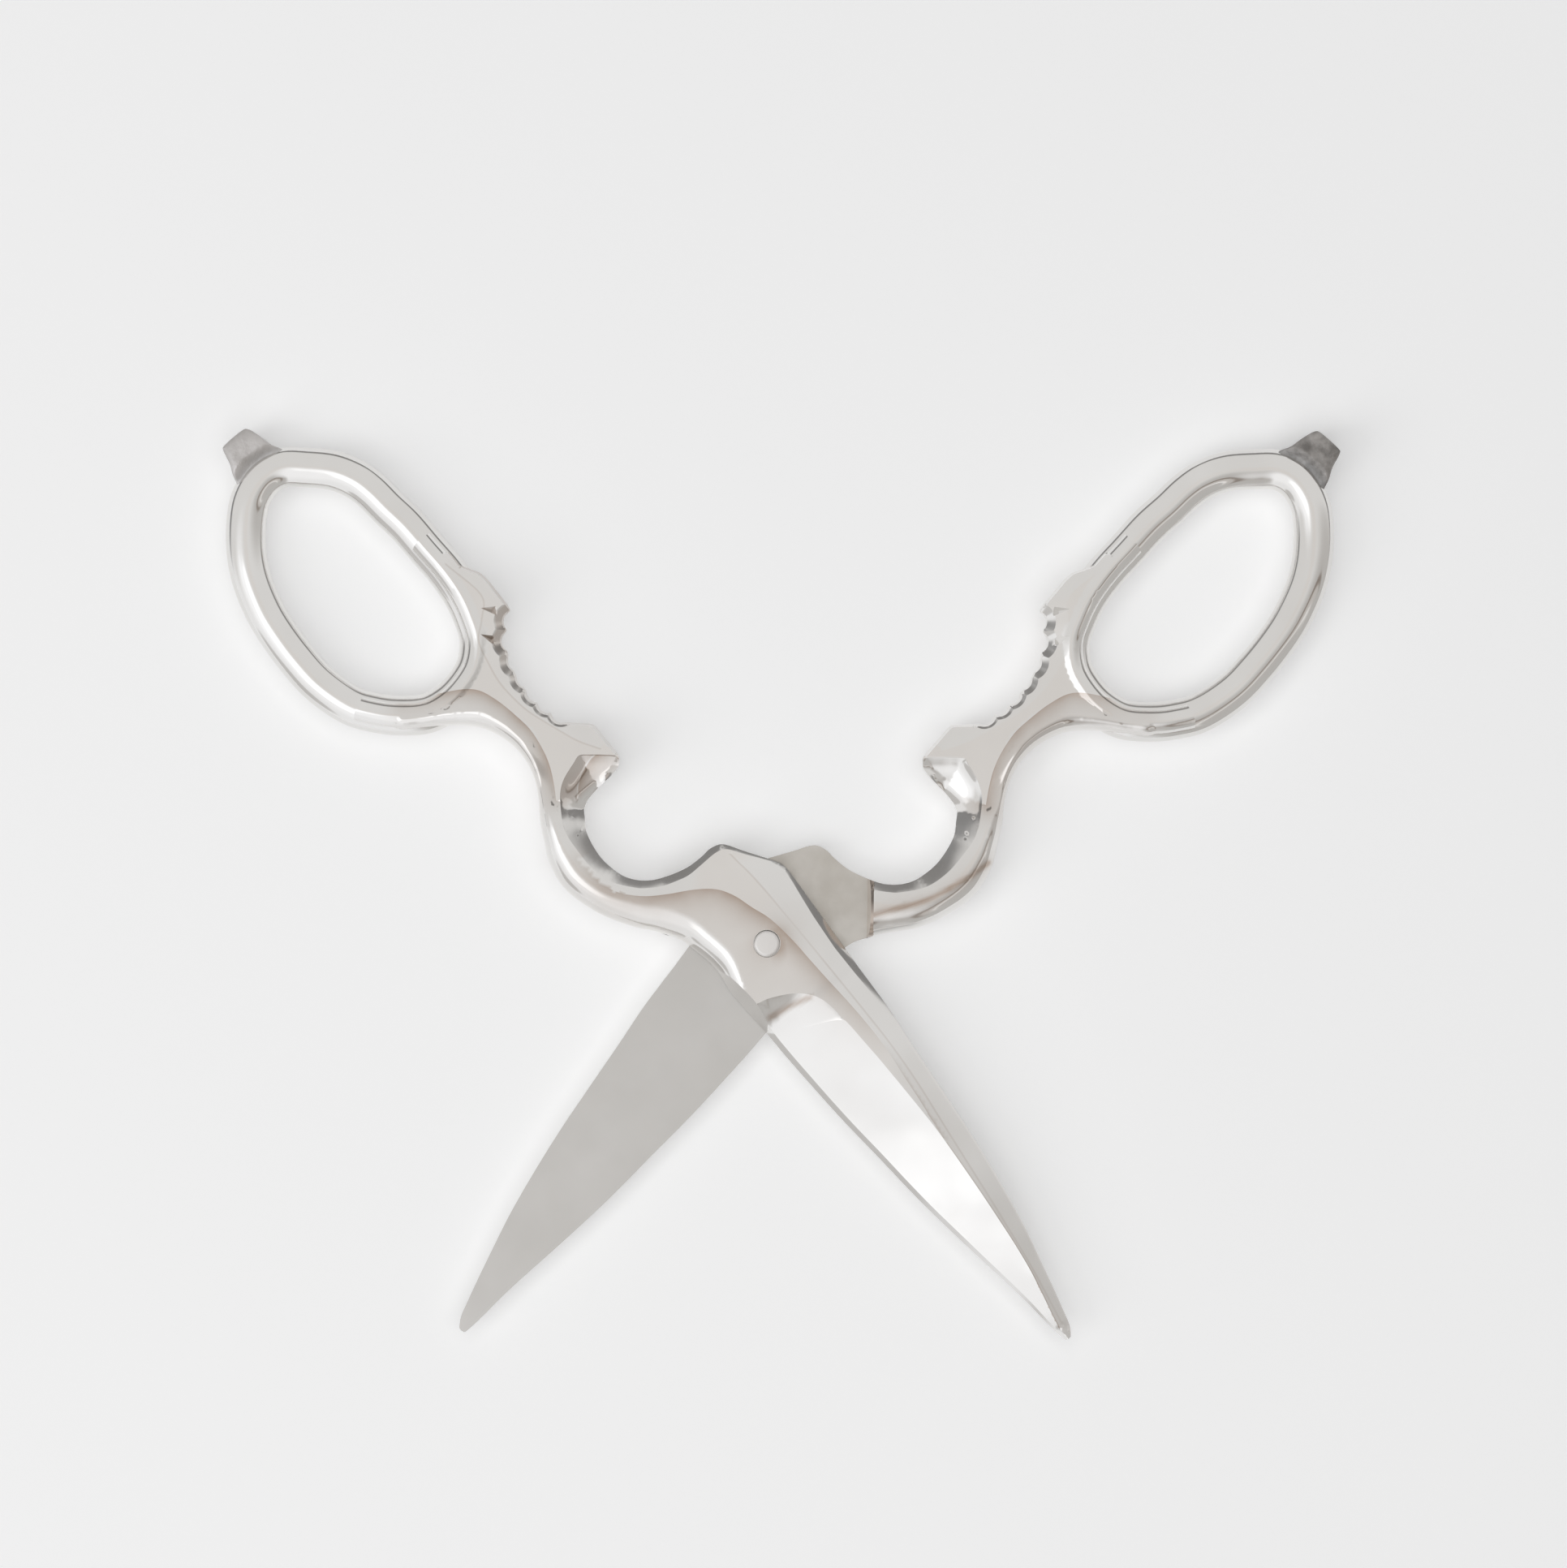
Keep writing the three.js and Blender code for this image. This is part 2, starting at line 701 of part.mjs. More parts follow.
const upperForging = new ForgedHalf({
  bladeReach: UPPER_BLADE_REACH,
  bladeSet: UPPER_BLADE_SET,
  handleLength: UPPER_HANDLE_LENGTH,
  handleSpread: UPPER_HANDLE_SPREAD,
});
const lowerForging = new ForgedHalf({
  bladeReach: LOWER_BLADE_REACH,
  bladeSet: LOWER_BLADE_SET,
  handleLength: LOWER_HANDLE_LENGTH,
  handleSpread: LOWER_HANDLE_SPREAD,
});
const upperSolid = upperForging.solid().subtract(headHole());
const upperHalf = pieceOf("upper_half", upperSolid, polishedSteel);
upperHalf.rotation.z = THREE.MathUtils.degToRad(UPPER_OPENING);

const lowerSolid = lowerForging.solid().rotate([0, 180, 0]).subtract(peenHole());
const lowerHalf = pieceOf("lower_half", lowerSolid, groundSteel);
lowerHalf.rotation.z = -THREE.MathUtils.degToRad(LOWER_OPENING);

const pivotRivet = pieceOf("pivot_rivet", rivetSolid(), rivetSteel);

const scissors = new THREE.Group();
scissors.add(upperHalf, lowerHalf, pivotRivet);
scissors.position.z = HALF_THICKNESS;

const part = new THREE.Group();
part.add(scissors);

export default part;
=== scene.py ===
"""All-metal forged kitchen scissors, lying open on a pale table.

Lengths are millimetres inside the classes and metres in the finished meshes.
Each half is drawn closed, with its outer face up and its shearing face just above
zero height, and is then turned about the pivot and laid in the model's frame.
"""

import json
import logging
import math
from dataclasses import dataclass
from enum import Enum
from functools import cached_property
from typing import Callable, Sequence

import bmesh
import bpy
import numpy as np
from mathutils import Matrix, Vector
from mathutils.geometry import delaunay_2d_cdt

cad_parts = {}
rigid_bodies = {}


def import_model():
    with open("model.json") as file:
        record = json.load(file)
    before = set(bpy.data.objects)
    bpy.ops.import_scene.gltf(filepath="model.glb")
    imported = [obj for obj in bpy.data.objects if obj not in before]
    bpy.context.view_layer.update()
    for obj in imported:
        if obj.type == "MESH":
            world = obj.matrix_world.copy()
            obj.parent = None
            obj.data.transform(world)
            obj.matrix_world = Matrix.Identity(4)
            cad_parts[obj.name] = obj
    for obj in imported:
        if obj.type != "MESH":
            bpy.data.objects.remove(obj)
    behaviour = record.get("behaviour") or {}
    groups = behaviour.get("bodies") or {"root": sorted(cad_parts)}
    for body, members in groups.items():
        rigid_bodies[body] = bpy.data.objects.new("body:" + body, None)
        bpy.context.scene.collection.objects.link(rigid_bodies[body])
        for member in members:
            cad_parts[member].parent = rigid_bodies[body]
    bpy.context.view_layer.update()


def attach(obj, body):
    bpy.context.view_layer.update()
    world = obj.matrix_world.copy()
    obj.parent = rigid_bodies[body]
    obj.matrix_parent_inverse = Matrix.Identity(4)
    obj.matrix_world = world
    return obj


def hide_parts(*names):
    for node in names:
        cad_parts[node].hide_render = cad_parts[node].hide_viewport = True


LOG = logging.getLogger("scissors")
MM = 0.001
Array = np.ndarray
Socket = bpy.types.NodeSocket
Field = Callable[[Array], Array]
Triple = tuple[float, float, float]

# Sizes and slopes that both halves share.
JOINT_REACH = 18.0
JOINT_HALF_WIDTH = 10.0
HALF_THICKNESS = 4.7
FACE_HEIGHT = 0.15
STEP_DRAFT = 0.6
STEP_CHAMFER = 1.0
CHAMFER_SLOPE = 0.93
STEP_HALF_WIDTH = 9.0
EDGE_LIP = 0.25
EDGE_FACET_TILT = 0.72
BOW_BAR_WIDTH = 5.3
BOW_THICKNESS = 6.8
WEB_THICKNESS = 6.2
WEB_RIM = 1.9
TAB_THICKNESS = 5.6
TAB_DRAFT = 0.9
CROWN_POWER = 2.4

# Sizes of the upper half, on which the lines below were measured.
DRAWN_BLADE = 84.0
DRAWN_HANDLE = 96.3
DRAWN_SPREAD = 36.5

# How many pieces each span of the rows below is cut into, and the row where the web ends.
ROW_STEPS = 6
WEB_END = 8 * ROW_STEPS

# Stem of a half, from inside the bow to the shoulder: outer x and y, inner x and y,
# as shares of the handle's spread and length, then crown height.
STEM_SHARES = [
    (-0.78, 0.53, -0.72, 0.54, 0.55), (-0.759, 0.502, -0.655, 0.527, 0.72),
    (-0.667, 0.478, -0.565, 0.506, 0.75), (-0.573, 0.457, -0.476, 0.489, 0.8),
    (-0.495, 0.435, -0.381, 0.472, 0.84), (-0.441, 0.413, -0.324, 0.452, 0.87),
    (-0.405, 0.387, -0.295, 0.424, 0.9), (-0.384, 0.361, -0.27, 0.384, 0.92),
    (-0.376, 0.332, -0.257, 0.342, 0.95), (-0.384, 0.305, -0.268, 0.306, 0.97),
    (-0.405, 0.28, -0.281, 0.271, 0.98), (-0.438, 0.256, -0.286, 0.235, 1), (-0.476, 0.235, -0.284, 0.207, 1),
    (-0.511, 0.212, -0.314, 0.184, 1), (-0.538, 0.19, -0.349, 0.162, 1), (-0.568, 0.166, -0.365, 0.135, 1),
    (-0.586, 0.141, -0.369, 0.106, 1), (-0.595, 0.114, -0.357, 0.08, 1), (-0.586, 0.086, -0.335, 0.057, 1),
    (-0.565, 0.06, -0.297, 0.038, 1), (-0.532, 0.029, -0.246, 0.023, 1), (-0.484, -0.002, -0.192, 0.014, 1),
]

# Joint plate: outer x and y, inner x and y, crown height and flatness.
JOINT_SHARES = [
    (-1.59, 0.85, -0.495, 1.039, 1, 0), (-1.42, 0.744, -0.26, 1.014, 1, 0.35),
    (-1.28, 0.639, 0.01, 1.014, 1, 0.7), (-1.16, 0.542, 0.22, 1.025, 1, 1), (-1.1, 0.467, 0.43, 0.983, 1, 1),
    (-1.05, 0.356, 0.63, 0.822, 1, 1), (-1, 0.244, 0.77, 0.711, 1, 1), (-0.965, 0.139, 0.94, 0.572, 1, 1),
    (-0.955, 0.044, 1.02, 0.478, 1, 1), (-0.98, -0.067, 1.03, 0.333, 1, 1), (-1, -0.178, 1.02, 0.167, 1, 1),
    (-0.985, -0.306, 1.01, -0.056, 1, 1), (-0.97, -0.444, 1, -0.278, 1, 1),
]

# Blade: edge x, spine x and y, crown height.
BLADE_SHARES = [
    (-0.95, 0.99, -0.12, 0.97), (-0.93, 0.98, -0.155, 0.93), (-0.915, 0.975, -0.202, 0.89),
    (-0.88, 0.96, -0.264, 0.86), (-0.835, 0.91, -0.336, 0.83), (-0.78, 0.87, -0.405, 0.78),
    (-0.71, 0.83, -0.476, 0.72), (-0.645, 0.785, -0.55, 0.66), (-0.575, 0.725, -0.619, 0.6),
    (-0.485, 0.65, -0.69, 0.53), (-0.385, 0.555, -0.762, 0.45), (-0.28, 0.43, -0.833, 0.36),
    (-0.2, 0.32, -0.893, 0.29), (-0.15, 0.215, -0.946, 0.23), (-0.11, 0.14, -0.98, 0.19),
    (-0.075, 0.04, -1.001, 0.16),
]

# Step between the shearing face and the shank.
STEP_SHARES = [(-0.716, 1.062), (-1.235, 0.697)]

# Middle line of the bow's bar.
BOW_SHARES = [
    (-0.719, 0.523), (-0.797, 0.552), (-0.868, 0.59), (-0.919, 0.651), (-0.932, 0.709), (-0.93, 0.765),
    (-0.915, 0.813), (-0.876, 0.867), (-0.818, 0.912), (-0.735, 0.954), (-0.649, 0.983), (-0.543, 0.997),
    (-0.443, 0.991), (-0.357, 0.966), (-0.268, 0.934), (-0.211, 0.898), (-0.184, 0.863), (-0.17, 0.823),
    (-0.151, 0.778), (-0.143, 0.724), (-0.135, 0.673), (-0.141, 0.624), (-0.165, 0.582), (-0.208, 0.541),
    (-0.295, 0.508), (-0.405, 0.492), (-0.508, 0.488), (-0.614, 0.496),
]

# Web with the opener's hook and the bay, and the middle of the bay.
WEB_SHARES = [
    (-0.02, 0.228), (-0.016, 0.238), (-0.022, 0.3), (-0.03, 0.306), (-0.093, 0.326), (-0.128, 0.338),
    (-0.139, 0.362), (-0.165, 0.384), (-0.175, 0.404), (-0.176, 0.441), (-0.155, 0.482), (-0.098, 0.519),
    (-0.01, 0.547), (-0.004, 0.556), (-0.006, 0.618), (-0.014, 0.634), (-0.06, 0.662), (-0.09, 0.69),
    (-0.14, 0.69), (-0.14, 0.624), (-0.19, 0.56), (-0.26, 0.51), (-0.42, 0.485), (-0.36, 0.43), (-0.33, 0.38),
    (-0.32, 0.33), (-0.335, 0.28), (-0.36, 0.24), (-0.355, 0.2), (-0.3, 0.194), (-0.262, 0.203),
    (-0.2, 0.208), (-0.105, 0.211), (-0.05, 0.216),
]
BAY_CENTRE_SHARES = (0.35, 0.428)

# Forged tab at the far end of the bow.
TAB_SHARES = [
    (-0.66, 0.99), (-0.655, 1.025), (-0.63, 1.05), (-0.615, 1.077), (-0.592, 1.083), (-0.492, 1.085),
    (-0.46, 1.08), (-0.436, 1.058), (-0.42, 1.035), (-0.39, 1.012), (-0.42, 0.985), (-0.543, 0.997),
]

# Top edge of the inner wall, from the opener's hook round the shank to the shoulder.
SHANK_ARRIS = [
    (-0.98, 39.84), (-1.09, 40.62), (-2.65, 41.99), (-4.29, 43.26), (-5.91, 44.33), (-7.3, 43.9),
    (-10, 42.9), (-11.7, 41.8), (-13, 40.3), (-14.6, 37.6), (-15.6, 34.9), (-15.8, 32.2), (-15.7, 28.2),
    (-14.5, 24.2), (-11.9, 20.9), (-10.3, 19.6), (-8, 18.3), (-5.4, 17.5), (-3.4, 17.1), (-0.7, 17.2),
    (1.6, 17.35), (2.8, 17.3), (3.83, 17), (4.72, 16.2), (6.05, 14.35), (7.8, 12.1), (9, 10.35),
    (9.85, 8),
]

# Width of the wall along the spine: place below the pivot, then width.
SPINE_WALL = [(-8, 0.4), (1, 1.1), (8, 1.35), (16, 0.9), (27, 0.5), (45, 0.28), (90, 0.14)]

# Soft ridge that runs from the shank across the joint and down the blade.
RIDGE = [
    (-16.6, 30.5), (-16.2, 26.6), (-15, 22.6), (-12.1, 19.3), (-8.7, 17), (-4.34, 14.7), (-1.2, 12.4),
    (0.6, 9.6), (1.7, 6.4), (3, 2.9), (3.8, -2.2), (4.1, -6.4), (4.45, -11), (4.9, -16), (5.15, -20.1),
    (5.25, -24.4), (5.05, -28.4), (4.7, -32.2), (4.45, -36), (4.05, -40.2), (3.75, -44),
]

# Crease between the ridge and the spine.
CREASE = [
    (4.25, 15.6), (4.45, 14), (4.9, 11), (5.25, 6.5), (5.4, 2.5), (5.6, -1.5), (5.8, -7), (6, -13.5),
    (6.15, -19.1), (6.25, -24.5), (6.15, -29.6), (5.85, -34.6), (5.4, -39.4), (4.85, -45), (4.3, -51),
    (3.7, -57.5), (3, -64), (2.2, -71), (1.25, -77), (0.55, -81),
]

# Top of the long ground bevel, from the plunge to the point.
BEVEL_TOP = [
    (1.98, -14.13), (2.37, -16.57), (2.75, -19.47), (2.98, -23.08), (3.2, -26.33), (3.35, -29.76),
    (3.47, -33.19), (3.58, -36.79), (3.66, -40.05), (3.64, -43.82), (3.4, -50.2), (3.1, -55.8), (2.75, -61),
    (2.35, -66), (1.75, -71), (0.9, -75.5), (0.1, -79.3), (-0.3, -81.6),
]

# Bottoms of the bay's scallops, and the two chisel nicks behind the first of them.
SCALLOPS = [
    (-2.45, 70.1), (-4.9, 67.4), (-6.15, 63.75), (-6.75, 60.3), (-6.85, 57.1), (-6.4, 54.3), (-5.5, 51.3),
]
SCALLOP_WIDTHS = (1.5, 1.5, 1.35, 1.15, 1, 0.9, 0.8)
SCALLOP_SLOPE = 0.76
NICKS = [[(-4, 74.1), (-1.8, 72.8), (-2.5, 71.2)], [(-6.7, 70.6), (-4.8, 68.8), (-5.9, 67)]]

# Crease between the stem's bar and the web, and the line along which the web turns
# down towards the bay.
WEB_CREASE = [
    (-24.3, 69.7), (-17.6, 66.6), (-13.2, 63.9), (-11.3, 60.2), (-10.2, 55.6), (-9.8, 52.4), (-10.2, 48.6),
    (-11, 45.7), (-12.2, 43.1), (-13.6, 40.6),
]
BAY_CREASE = [
    (-4.2, 83.5), (-2.6, 75.8), (-4.9, 72.6), (-7.6, 69.9), (-8.6, 66), (-9.1, 62.1), (-8.8, 58.4),
    (-8.2, 55.4), (-7.1, 52.4), (-5.9, 49.4), (-4.6, 46.4), (-2.4, 43),
]

# Painted dark reflection along the inner side of the shank, and painted brown shade across the plunge's
# scoop.
SHANK_STREAK = [(-10.6, 14.6), (-11.8, 16.4), (-16.2, 22.6), (-19.1, 29.4), (-20.4, 34)]
SCOOP_STREAK = [(-7.2, -10.3), (-3.5, -10.7), (0.4, -11.6)]

# Where the hook's hollow begins along the handle.
HOOK_FOOT = 36.5

# Lip across the hook's hollowed underside; the hollow's painted shade stops short of it, which leaves it
# bright.
HOOK_LIP = [
    (-3.4, 42.75), (-4.2, 42.8), (-5.2, 42.6), (-6.3, 42.2), (-7.6, 41.6), (-8.8, 40.8), (-9.8, 39.8),
    (-10.5, 38.6),
]

# Rim of the plunge's scoop, its foot, and the top of the heel's steep facet.
SCOOP_RIM = [
    (-7.5, -7), (-6.82, -7.2), (-5.67, -7.42), (-3.7, -8.23), (-2.2, -8.98), (-0.72, -9.99), (0.75, -11.46),
    (1.5, -12.73), (1.98, -14.13), (2.37, -16.57), (2.5, -18.2),
]
SCOOP_FOOT = [
    (-9.5, -13.4), (-7.93, -13.99), (-5.82, -14.39), (-4.39, -14.79), (-2.42, -15.6), (-0.45, -16.42),
    (1.43, -17.34), (2.5, -18.2),
]
FACET_TOP = [
    (-9.35, 2.2), (-9.03, 0.85), (-8.33, -0.72), (-7.98, -2.44), (-7.7, -4.28), (-7.5, -6.44), (-7.6, -8.02),
    (-8.05, -10.3), (-8.3, -12.6), (-8.32, -14.5),
]


class Side(Enum):
    """Which face of a half looks up on the table."""

    OUTER_UP = "outer face up"
    INNER_UP = "inner face up"


class Region(Enum):
    """Material places of a forged half's mesh."""

    POLISHED = 0
    GROUND = 1
    JOINT = 2


def smooth_line(points: Sequence[Sequence[float]], per_span: int, closed: bool = False) -> Array:
    """Passes a smooth line through points.

    Args:
        points: The points, each with any number of columns.
        per_span: How many pieces each span is cut into.
        closed: Whether the last point leads back to the first.

    Returns:
        The points of the smooth line, one row each.
    """
    knots = np.asarray(points, float)
    if closed:
        padded = np.vstack([knots[-1:], knots, knots[:2]])
        spans = len(knots)
    else:
        first = 2 * knots[:1] - knots[1:2]
        last = 2 * knots[-1:] - knots[-2:-1]
        padded = np.vstack([first, knots, last])
        spans = len(knots) - 1
    share = np.arange(per_span)[:, None] / per_span
    rows = []
    for i in range(spans):
        a, b, c, d = padded[i : i + 4]
        bend, twist = 2 * a - 5 * b + 4 * c - d, 3 * b - a - 3 * c + d
        rows.append(0.5 * (2 * b + (c - a) * share + bend * share**2 + twist * share**3))
    line = np.vstack(rows)
    return line if closed else np.vstack([line, knots[-1:]])


def even_line(points: Array, pitch: float, closed: bool = False) -> Array:
    """Spaces the points of a line evenly, about a pitch apart.

    Args:
        points: Points of the line, with any columns after x and y.
        pitch: Spacing.
        closed: Whether the last point leads back to the first.

    Returns:
        The spaced points.
    """
    track = np.vstack([points, points[:1]]) if closed else points
    steps = np.hypot(*np.diff(track[:, :2], axis=0).T)
    run = np.concatenate([[0.0], np.cumsum(steps)])
    count = max(3, int(round(run[-1] / pitch)))
    places = np.linspace(0.0, run[-1], count + 1)
    if closed:
        places = places[:-1]
    return np.column_stack([np.interp(places, run, track[:, k]) for k in range(track.shape[1])])


def patches(at: Array, size: float) -> list[Array]:
    """Groups points that lie close together.

    Args:
        at: The points, one row each.
        size: Width of a square patch.

    Returns:
        For each patch that holds points, their indices.
    """
    cells = np.floor(at / size).astype(np.int64)
    keys = cells[:, 0] * 100003 + cells[:, 1]
    order = np.argsort(keys, kind="stable")
    breaks = np.nonzero(np.diff(keys[order]))[0] + 1
    return np.split(order, breaks)


class Line:
    """A dense line in plan that finds the place on it nearest to a point."""

    # Width of the patches whose points are measured together.
    PATCH = 5.0

    def __init__(self, points: Array, closed: bool = False) -> None:
        """Keeps the spans of the line.

        Args:
            points: The points of the line, one row each.
            closed: Whether the last point leads back to the first.
        """
        self.points = np.asarray(points, float)[:, :2]
        ends = np.roll(self.points, -1, axis=0) if closed else self.points[1:]
        self.start = self.points if closed else self.points[:-1]
        self.step = ends - self.start
        self.square = np.maximum((self.step**2).sum(axis=1), 1e-12)

    def squares(self, at: Array, spans: Array) -> tuple[Array, Array]:
        """Squared distances of points from some spans, and the shares along them.

        Args:
            at: The points.
            spans: Indices of the spans.

        Returns:
            The squares and the shares, a row for each point.
        """
        start, step = self.start[spans], self.step[spans]
        gap_x = at[:, 0:1] - start[:, 0]
        gap_y = at[:, 1:2] - start[:, 1]
        share = (gap_x * step[:, 0] + gap_y * step[:, 1]) / self.square[spans]
        np.clip(share, 0.0, 1.0, out=share)
        gap_x -= share * step[:, 0]
        gap_y -= share * step[:, 1]
        return gap_x**2 + gap_y**2, share

    def nearest(self, at: Array) -> tuple[Array, Array]:
        """Finds how far points are from the line, and where along it.

        Args:
            at: The points, one row each.

        Returns:
            The distances, and the places counted in spans from the line's start.
        """
        distance, place = np.empty((2, len(at)))
        every = np.arange(len(self.start))
        for patch in patches(at, self.PATCH) if len(at) else []:
            spot = at[patch]
            middle = 0.5 * (spot.min(axis=0) + spot.max(axis=0))
            reach = np.hypot(*(spot.max(axis=0) - middle))
            far = np.sqrt(self.squares(middle[None, :], every)[0][0])
            spans = every[far <= far.min() + 2.0 * reach + 1e-6]
            square, share = self.squares(spot, spans)
            best = square.argmin(axis=1)
            rows = np.arange(len(best))
            distance[patch] = np.sqrt(square[rows, best])
            place[patch] = spans[best] + share[rows, best]
        return distance, place

    def distance(self, at: Array) -> Array:
        """Distances of points from the line."""
        return self.nearest(at)[0]


class Outline(Line):
    """A closed line that tells inside from outside."""

    # How many points are tested together.
    BAND = 400

    def __init__(self, points: Array) -> None:
        """Keeps the points of the closed line."""
        super().__init__(points, closed=True)

    def holds(self, at: Array) -> Array:
        """Whether each point lies inside.

        Args:
            at: The points.

        Returns:
            True for each point inside.
        """
        inside = np.zeros(len(at), bool)
        end = self.start + self.step
        low = np.minimum(self.start[:, 1], end[:, 1])
        high = np.maximum(self.start[:, 1], end[:, 1])
        order = np.argsort(at[:, 1], kind="stable")
        for first in range(0, len(at), self.BAND):
            band = order[first : first + self.BAND]
            x, y = at[band, 0:1], at[band, 1:2]
            spans = np.nonzero((high >= y[0]) & (low <= y[-1]))[0]
            start, step, stop = self.start[spans], self.step[spans], end[spans]
            crosses = (start[:, 1] > y) != (stop[:, 1] > y)
            rise = np.where(np.abs(step[:, 1]) < 1e-12, 1e-12, step[:, 1])
            cross = start[:, 0] + (y - start[:, 1]) * step[:, 0] / rise
            inside[band] = (crosses & (x < cross)).sum(axis=1) % 2 == 1
        return inside

    def depth(self, at: Array) -> Array:
        """How deep each point lies inside, negative outside."""
        return np.where(self.holds(at), 1.0, -1.0) * self.distance(at)


def crown_of(place: Array) -> Array:
    """Height of a rounded crown at places from -1 to 1 across it."""
    inner = np.maximum(0, 1 - np.abs(place) ** CROWN_POWER)
    return inner ** (1 / CROWN_POWER)


def ease(share: Array) -> Array:
    """Eases shares from 0 to 1 at both ends."""
    held = np.clip(share, 0, 1)
    return held * held * (3 - 2 * held)


def mix(low: Array, high: Array, share: Array) -> Array:
    """Mixes two values by a share."""
    return low + (high - low) * share


def blend_up(first: Array, second: Array, reach: float) -> Array:
    """The higher of two heights, with a fillet where they cross."""
    near = np.maximum(reach - np.abs(first - second), 0)
    return np.maximum(first, second) + near**2 / (4 * reach)


def level_loops(
    depth: Field, box: Array, pitch: float, levels: Sequence[float]
) -> list[list[Array]]:
    """Traces closed lines where a depth has given values.

    Args:
        depth: Gives the depth at points.
        box: Lowest x and y, then highest x and y.
        pitch: Spacing of the grid that is searched.
        levels: The depths to trace.

    Returns:
        For each level, its loops.
    """
    xs = np.arange(box[0], box[2] + pitch, pitch)
    ys = np.arange(box[1], box[3] + pitch, pitch)
    grid_x, grid_y = np.meshgrid(xs, ys)
    field = depth(np.c_[grid_x.ravel(), grid_y.ravel()]).reshape(grid_x.shape)
    return [loops_at(field - level, xs, ys) for level in levels]


def loops_at(field: Array, xs: Array, ys: Array) -> list[Array]:
    """Traces the closed lines on which a gridded field is zero.

    Args:
        field: The field, a row for each y.
        xs: The grid's x places.
        ys: The grid's y places.

    Returns:
        The loops, each with one row for a point.
    """
    above = field > 0
    cells = above[:-1, :-1].astype(int) + above[:-1, 1:] + above[1:, :-1] + above[1:, 1:]
    width = len(xs)
    links: dict[int, list[int]] = {}
    places: dict[int, tuple[float, float]] = {}

    def crossing(row: int, column: int, upright: bool) -> int:
        """Notes where the line crosses one side of a cell and gives the place's key.

        Args:
            row: The cell's row.
            column: The cell's column.
            upright: Whether the side runs up.

        Returns:
            The key.
        """
        key = 2 * (row * width + column) + int(upright)
        if key not in places:
            up, right = int(upright), int(not upright)
            here = field[row, column]
            share = here / (here - field[row + up, column + right])
            x = xs[column] + share * (xs[column + right] - xs[column])
            places[key] = (x, ys[row] + share * (ys[row + up] - ys[row]))
        return key

    for row, column in zip(*np.nonzero((cells > 0) & (cells < 4))):
        a, b = above[row, column], above[row, column + 1]
        c, d = above[row + 1, column + 1], above[row + 1, column]
        sides = [(a, b, 0, 0, False), (b, c, 0, 1, True), (c, d, 1, 0, False), (d, a, 0, 0, True)]
        ends = [crossing(row + up, column + on, upright) for p, q, up, on, upright in sides if p != q]
        if len(ends) == 4:
            middle = field[row : row + 2, column : column + 2].mean() > 0
            order = (0, 1, 2, 3) if middle != a else (0, 3, 1, 2)
            ends = [ends[k] for k in order]
        for first, second in zip(ends[::2], ends[1::2]):
            links.setdefault(first, []).append(second)
            links.setdefault(second, []).append(first)
    loops = []
    unused = set(links)
    while unused:
        loop = [unused.pop()]
        while onward := [key for key in links[loop[-1]] if key in unused]:
            unused.discard(onward[0])
            loop.append(onward[0])
        if len(loop) > 6:
            loops.append(np.array([places[key] for key in loop]))
    return loops


def unit(ways: Array) -> Array:
    """Directions in plan, each scaled to length 1."""
    return ways / np.maximum(np.hypot(*ways.T), 1e-6)[:, None]


def beside(line: Array, offset: float) -> Array:
    """A line moved to its left by an offset, or to its right by a negative one.

    Args:
        line: The line.
        offset: The offset.

    Returns:
        The moved line.
    """
    ahead = unit(np.gradient(line, axis=0))
    return line + offset * np.c_[-ahead[:, 1], ahead[:, 0]]


def settle(points: Array, depth: Field, level: float) -> Array:
    """Moves points onto the line where a depth has a value.

    Args:
        points: The points.
        depth: Gives the depth at points.
        level: The value.

    Returns:
        The moved points.
    """
    moved = points.copy()
    for _ in range(2):
        gap = depth(moved) - level
        slope = slope_of(depth, moved, 0.01)
        scale = np.clip(gap / np.maximum((slope**2).sum(axis=1), 0.25), -0.2, 0.2)
        moved -= slope * scale[:, None]
    return moved


def evened(loop: Array, depth: Field, level: float, pitch: float) -> Array:
    """Moves a traced loop onto the line where a depth has a value, and spaces it evenly.

    Args:
        loop: The loop as traced.
        depth: Gives the depth at points.
        level: The value.
        pitch: Spacing of the points.

    Returns:
        The points of the loop.
    """
    return even_line(settle(even_line(loop, 0.2, True), depth, level), pitch, True)


def chain(count: int, closed: bool, first: int = 0) -> list[tuple[int, int]]:
    """Index pairs of the edges along a line of points."""
    return [(first + k, first + (k + 1) % count) for k in range(count if closed else count - 1)]


def slope_of(height: Field, at: Array, reach: float) -> Array:
    """Slope of a height in x and y at points, over a short reach.

    Args:
        height: Gives the height at points.
        at: The points.
        reach: How far to each side it is measured.

    Returns:
        For each point, the slope in x and in y.
    """
    count = len(at)
    shifts = np.array([[reach, 0], [-reach, 0], [0, reach], [0, -reach]])
    probes = (at[None, :, :] + shifts[:, None, :]).reshape(-1, 2)
    values = height(probes).reshape(4, count)
    return np.c_[values[0] - values[1], values[2] - values[3]] / (2 * reach)


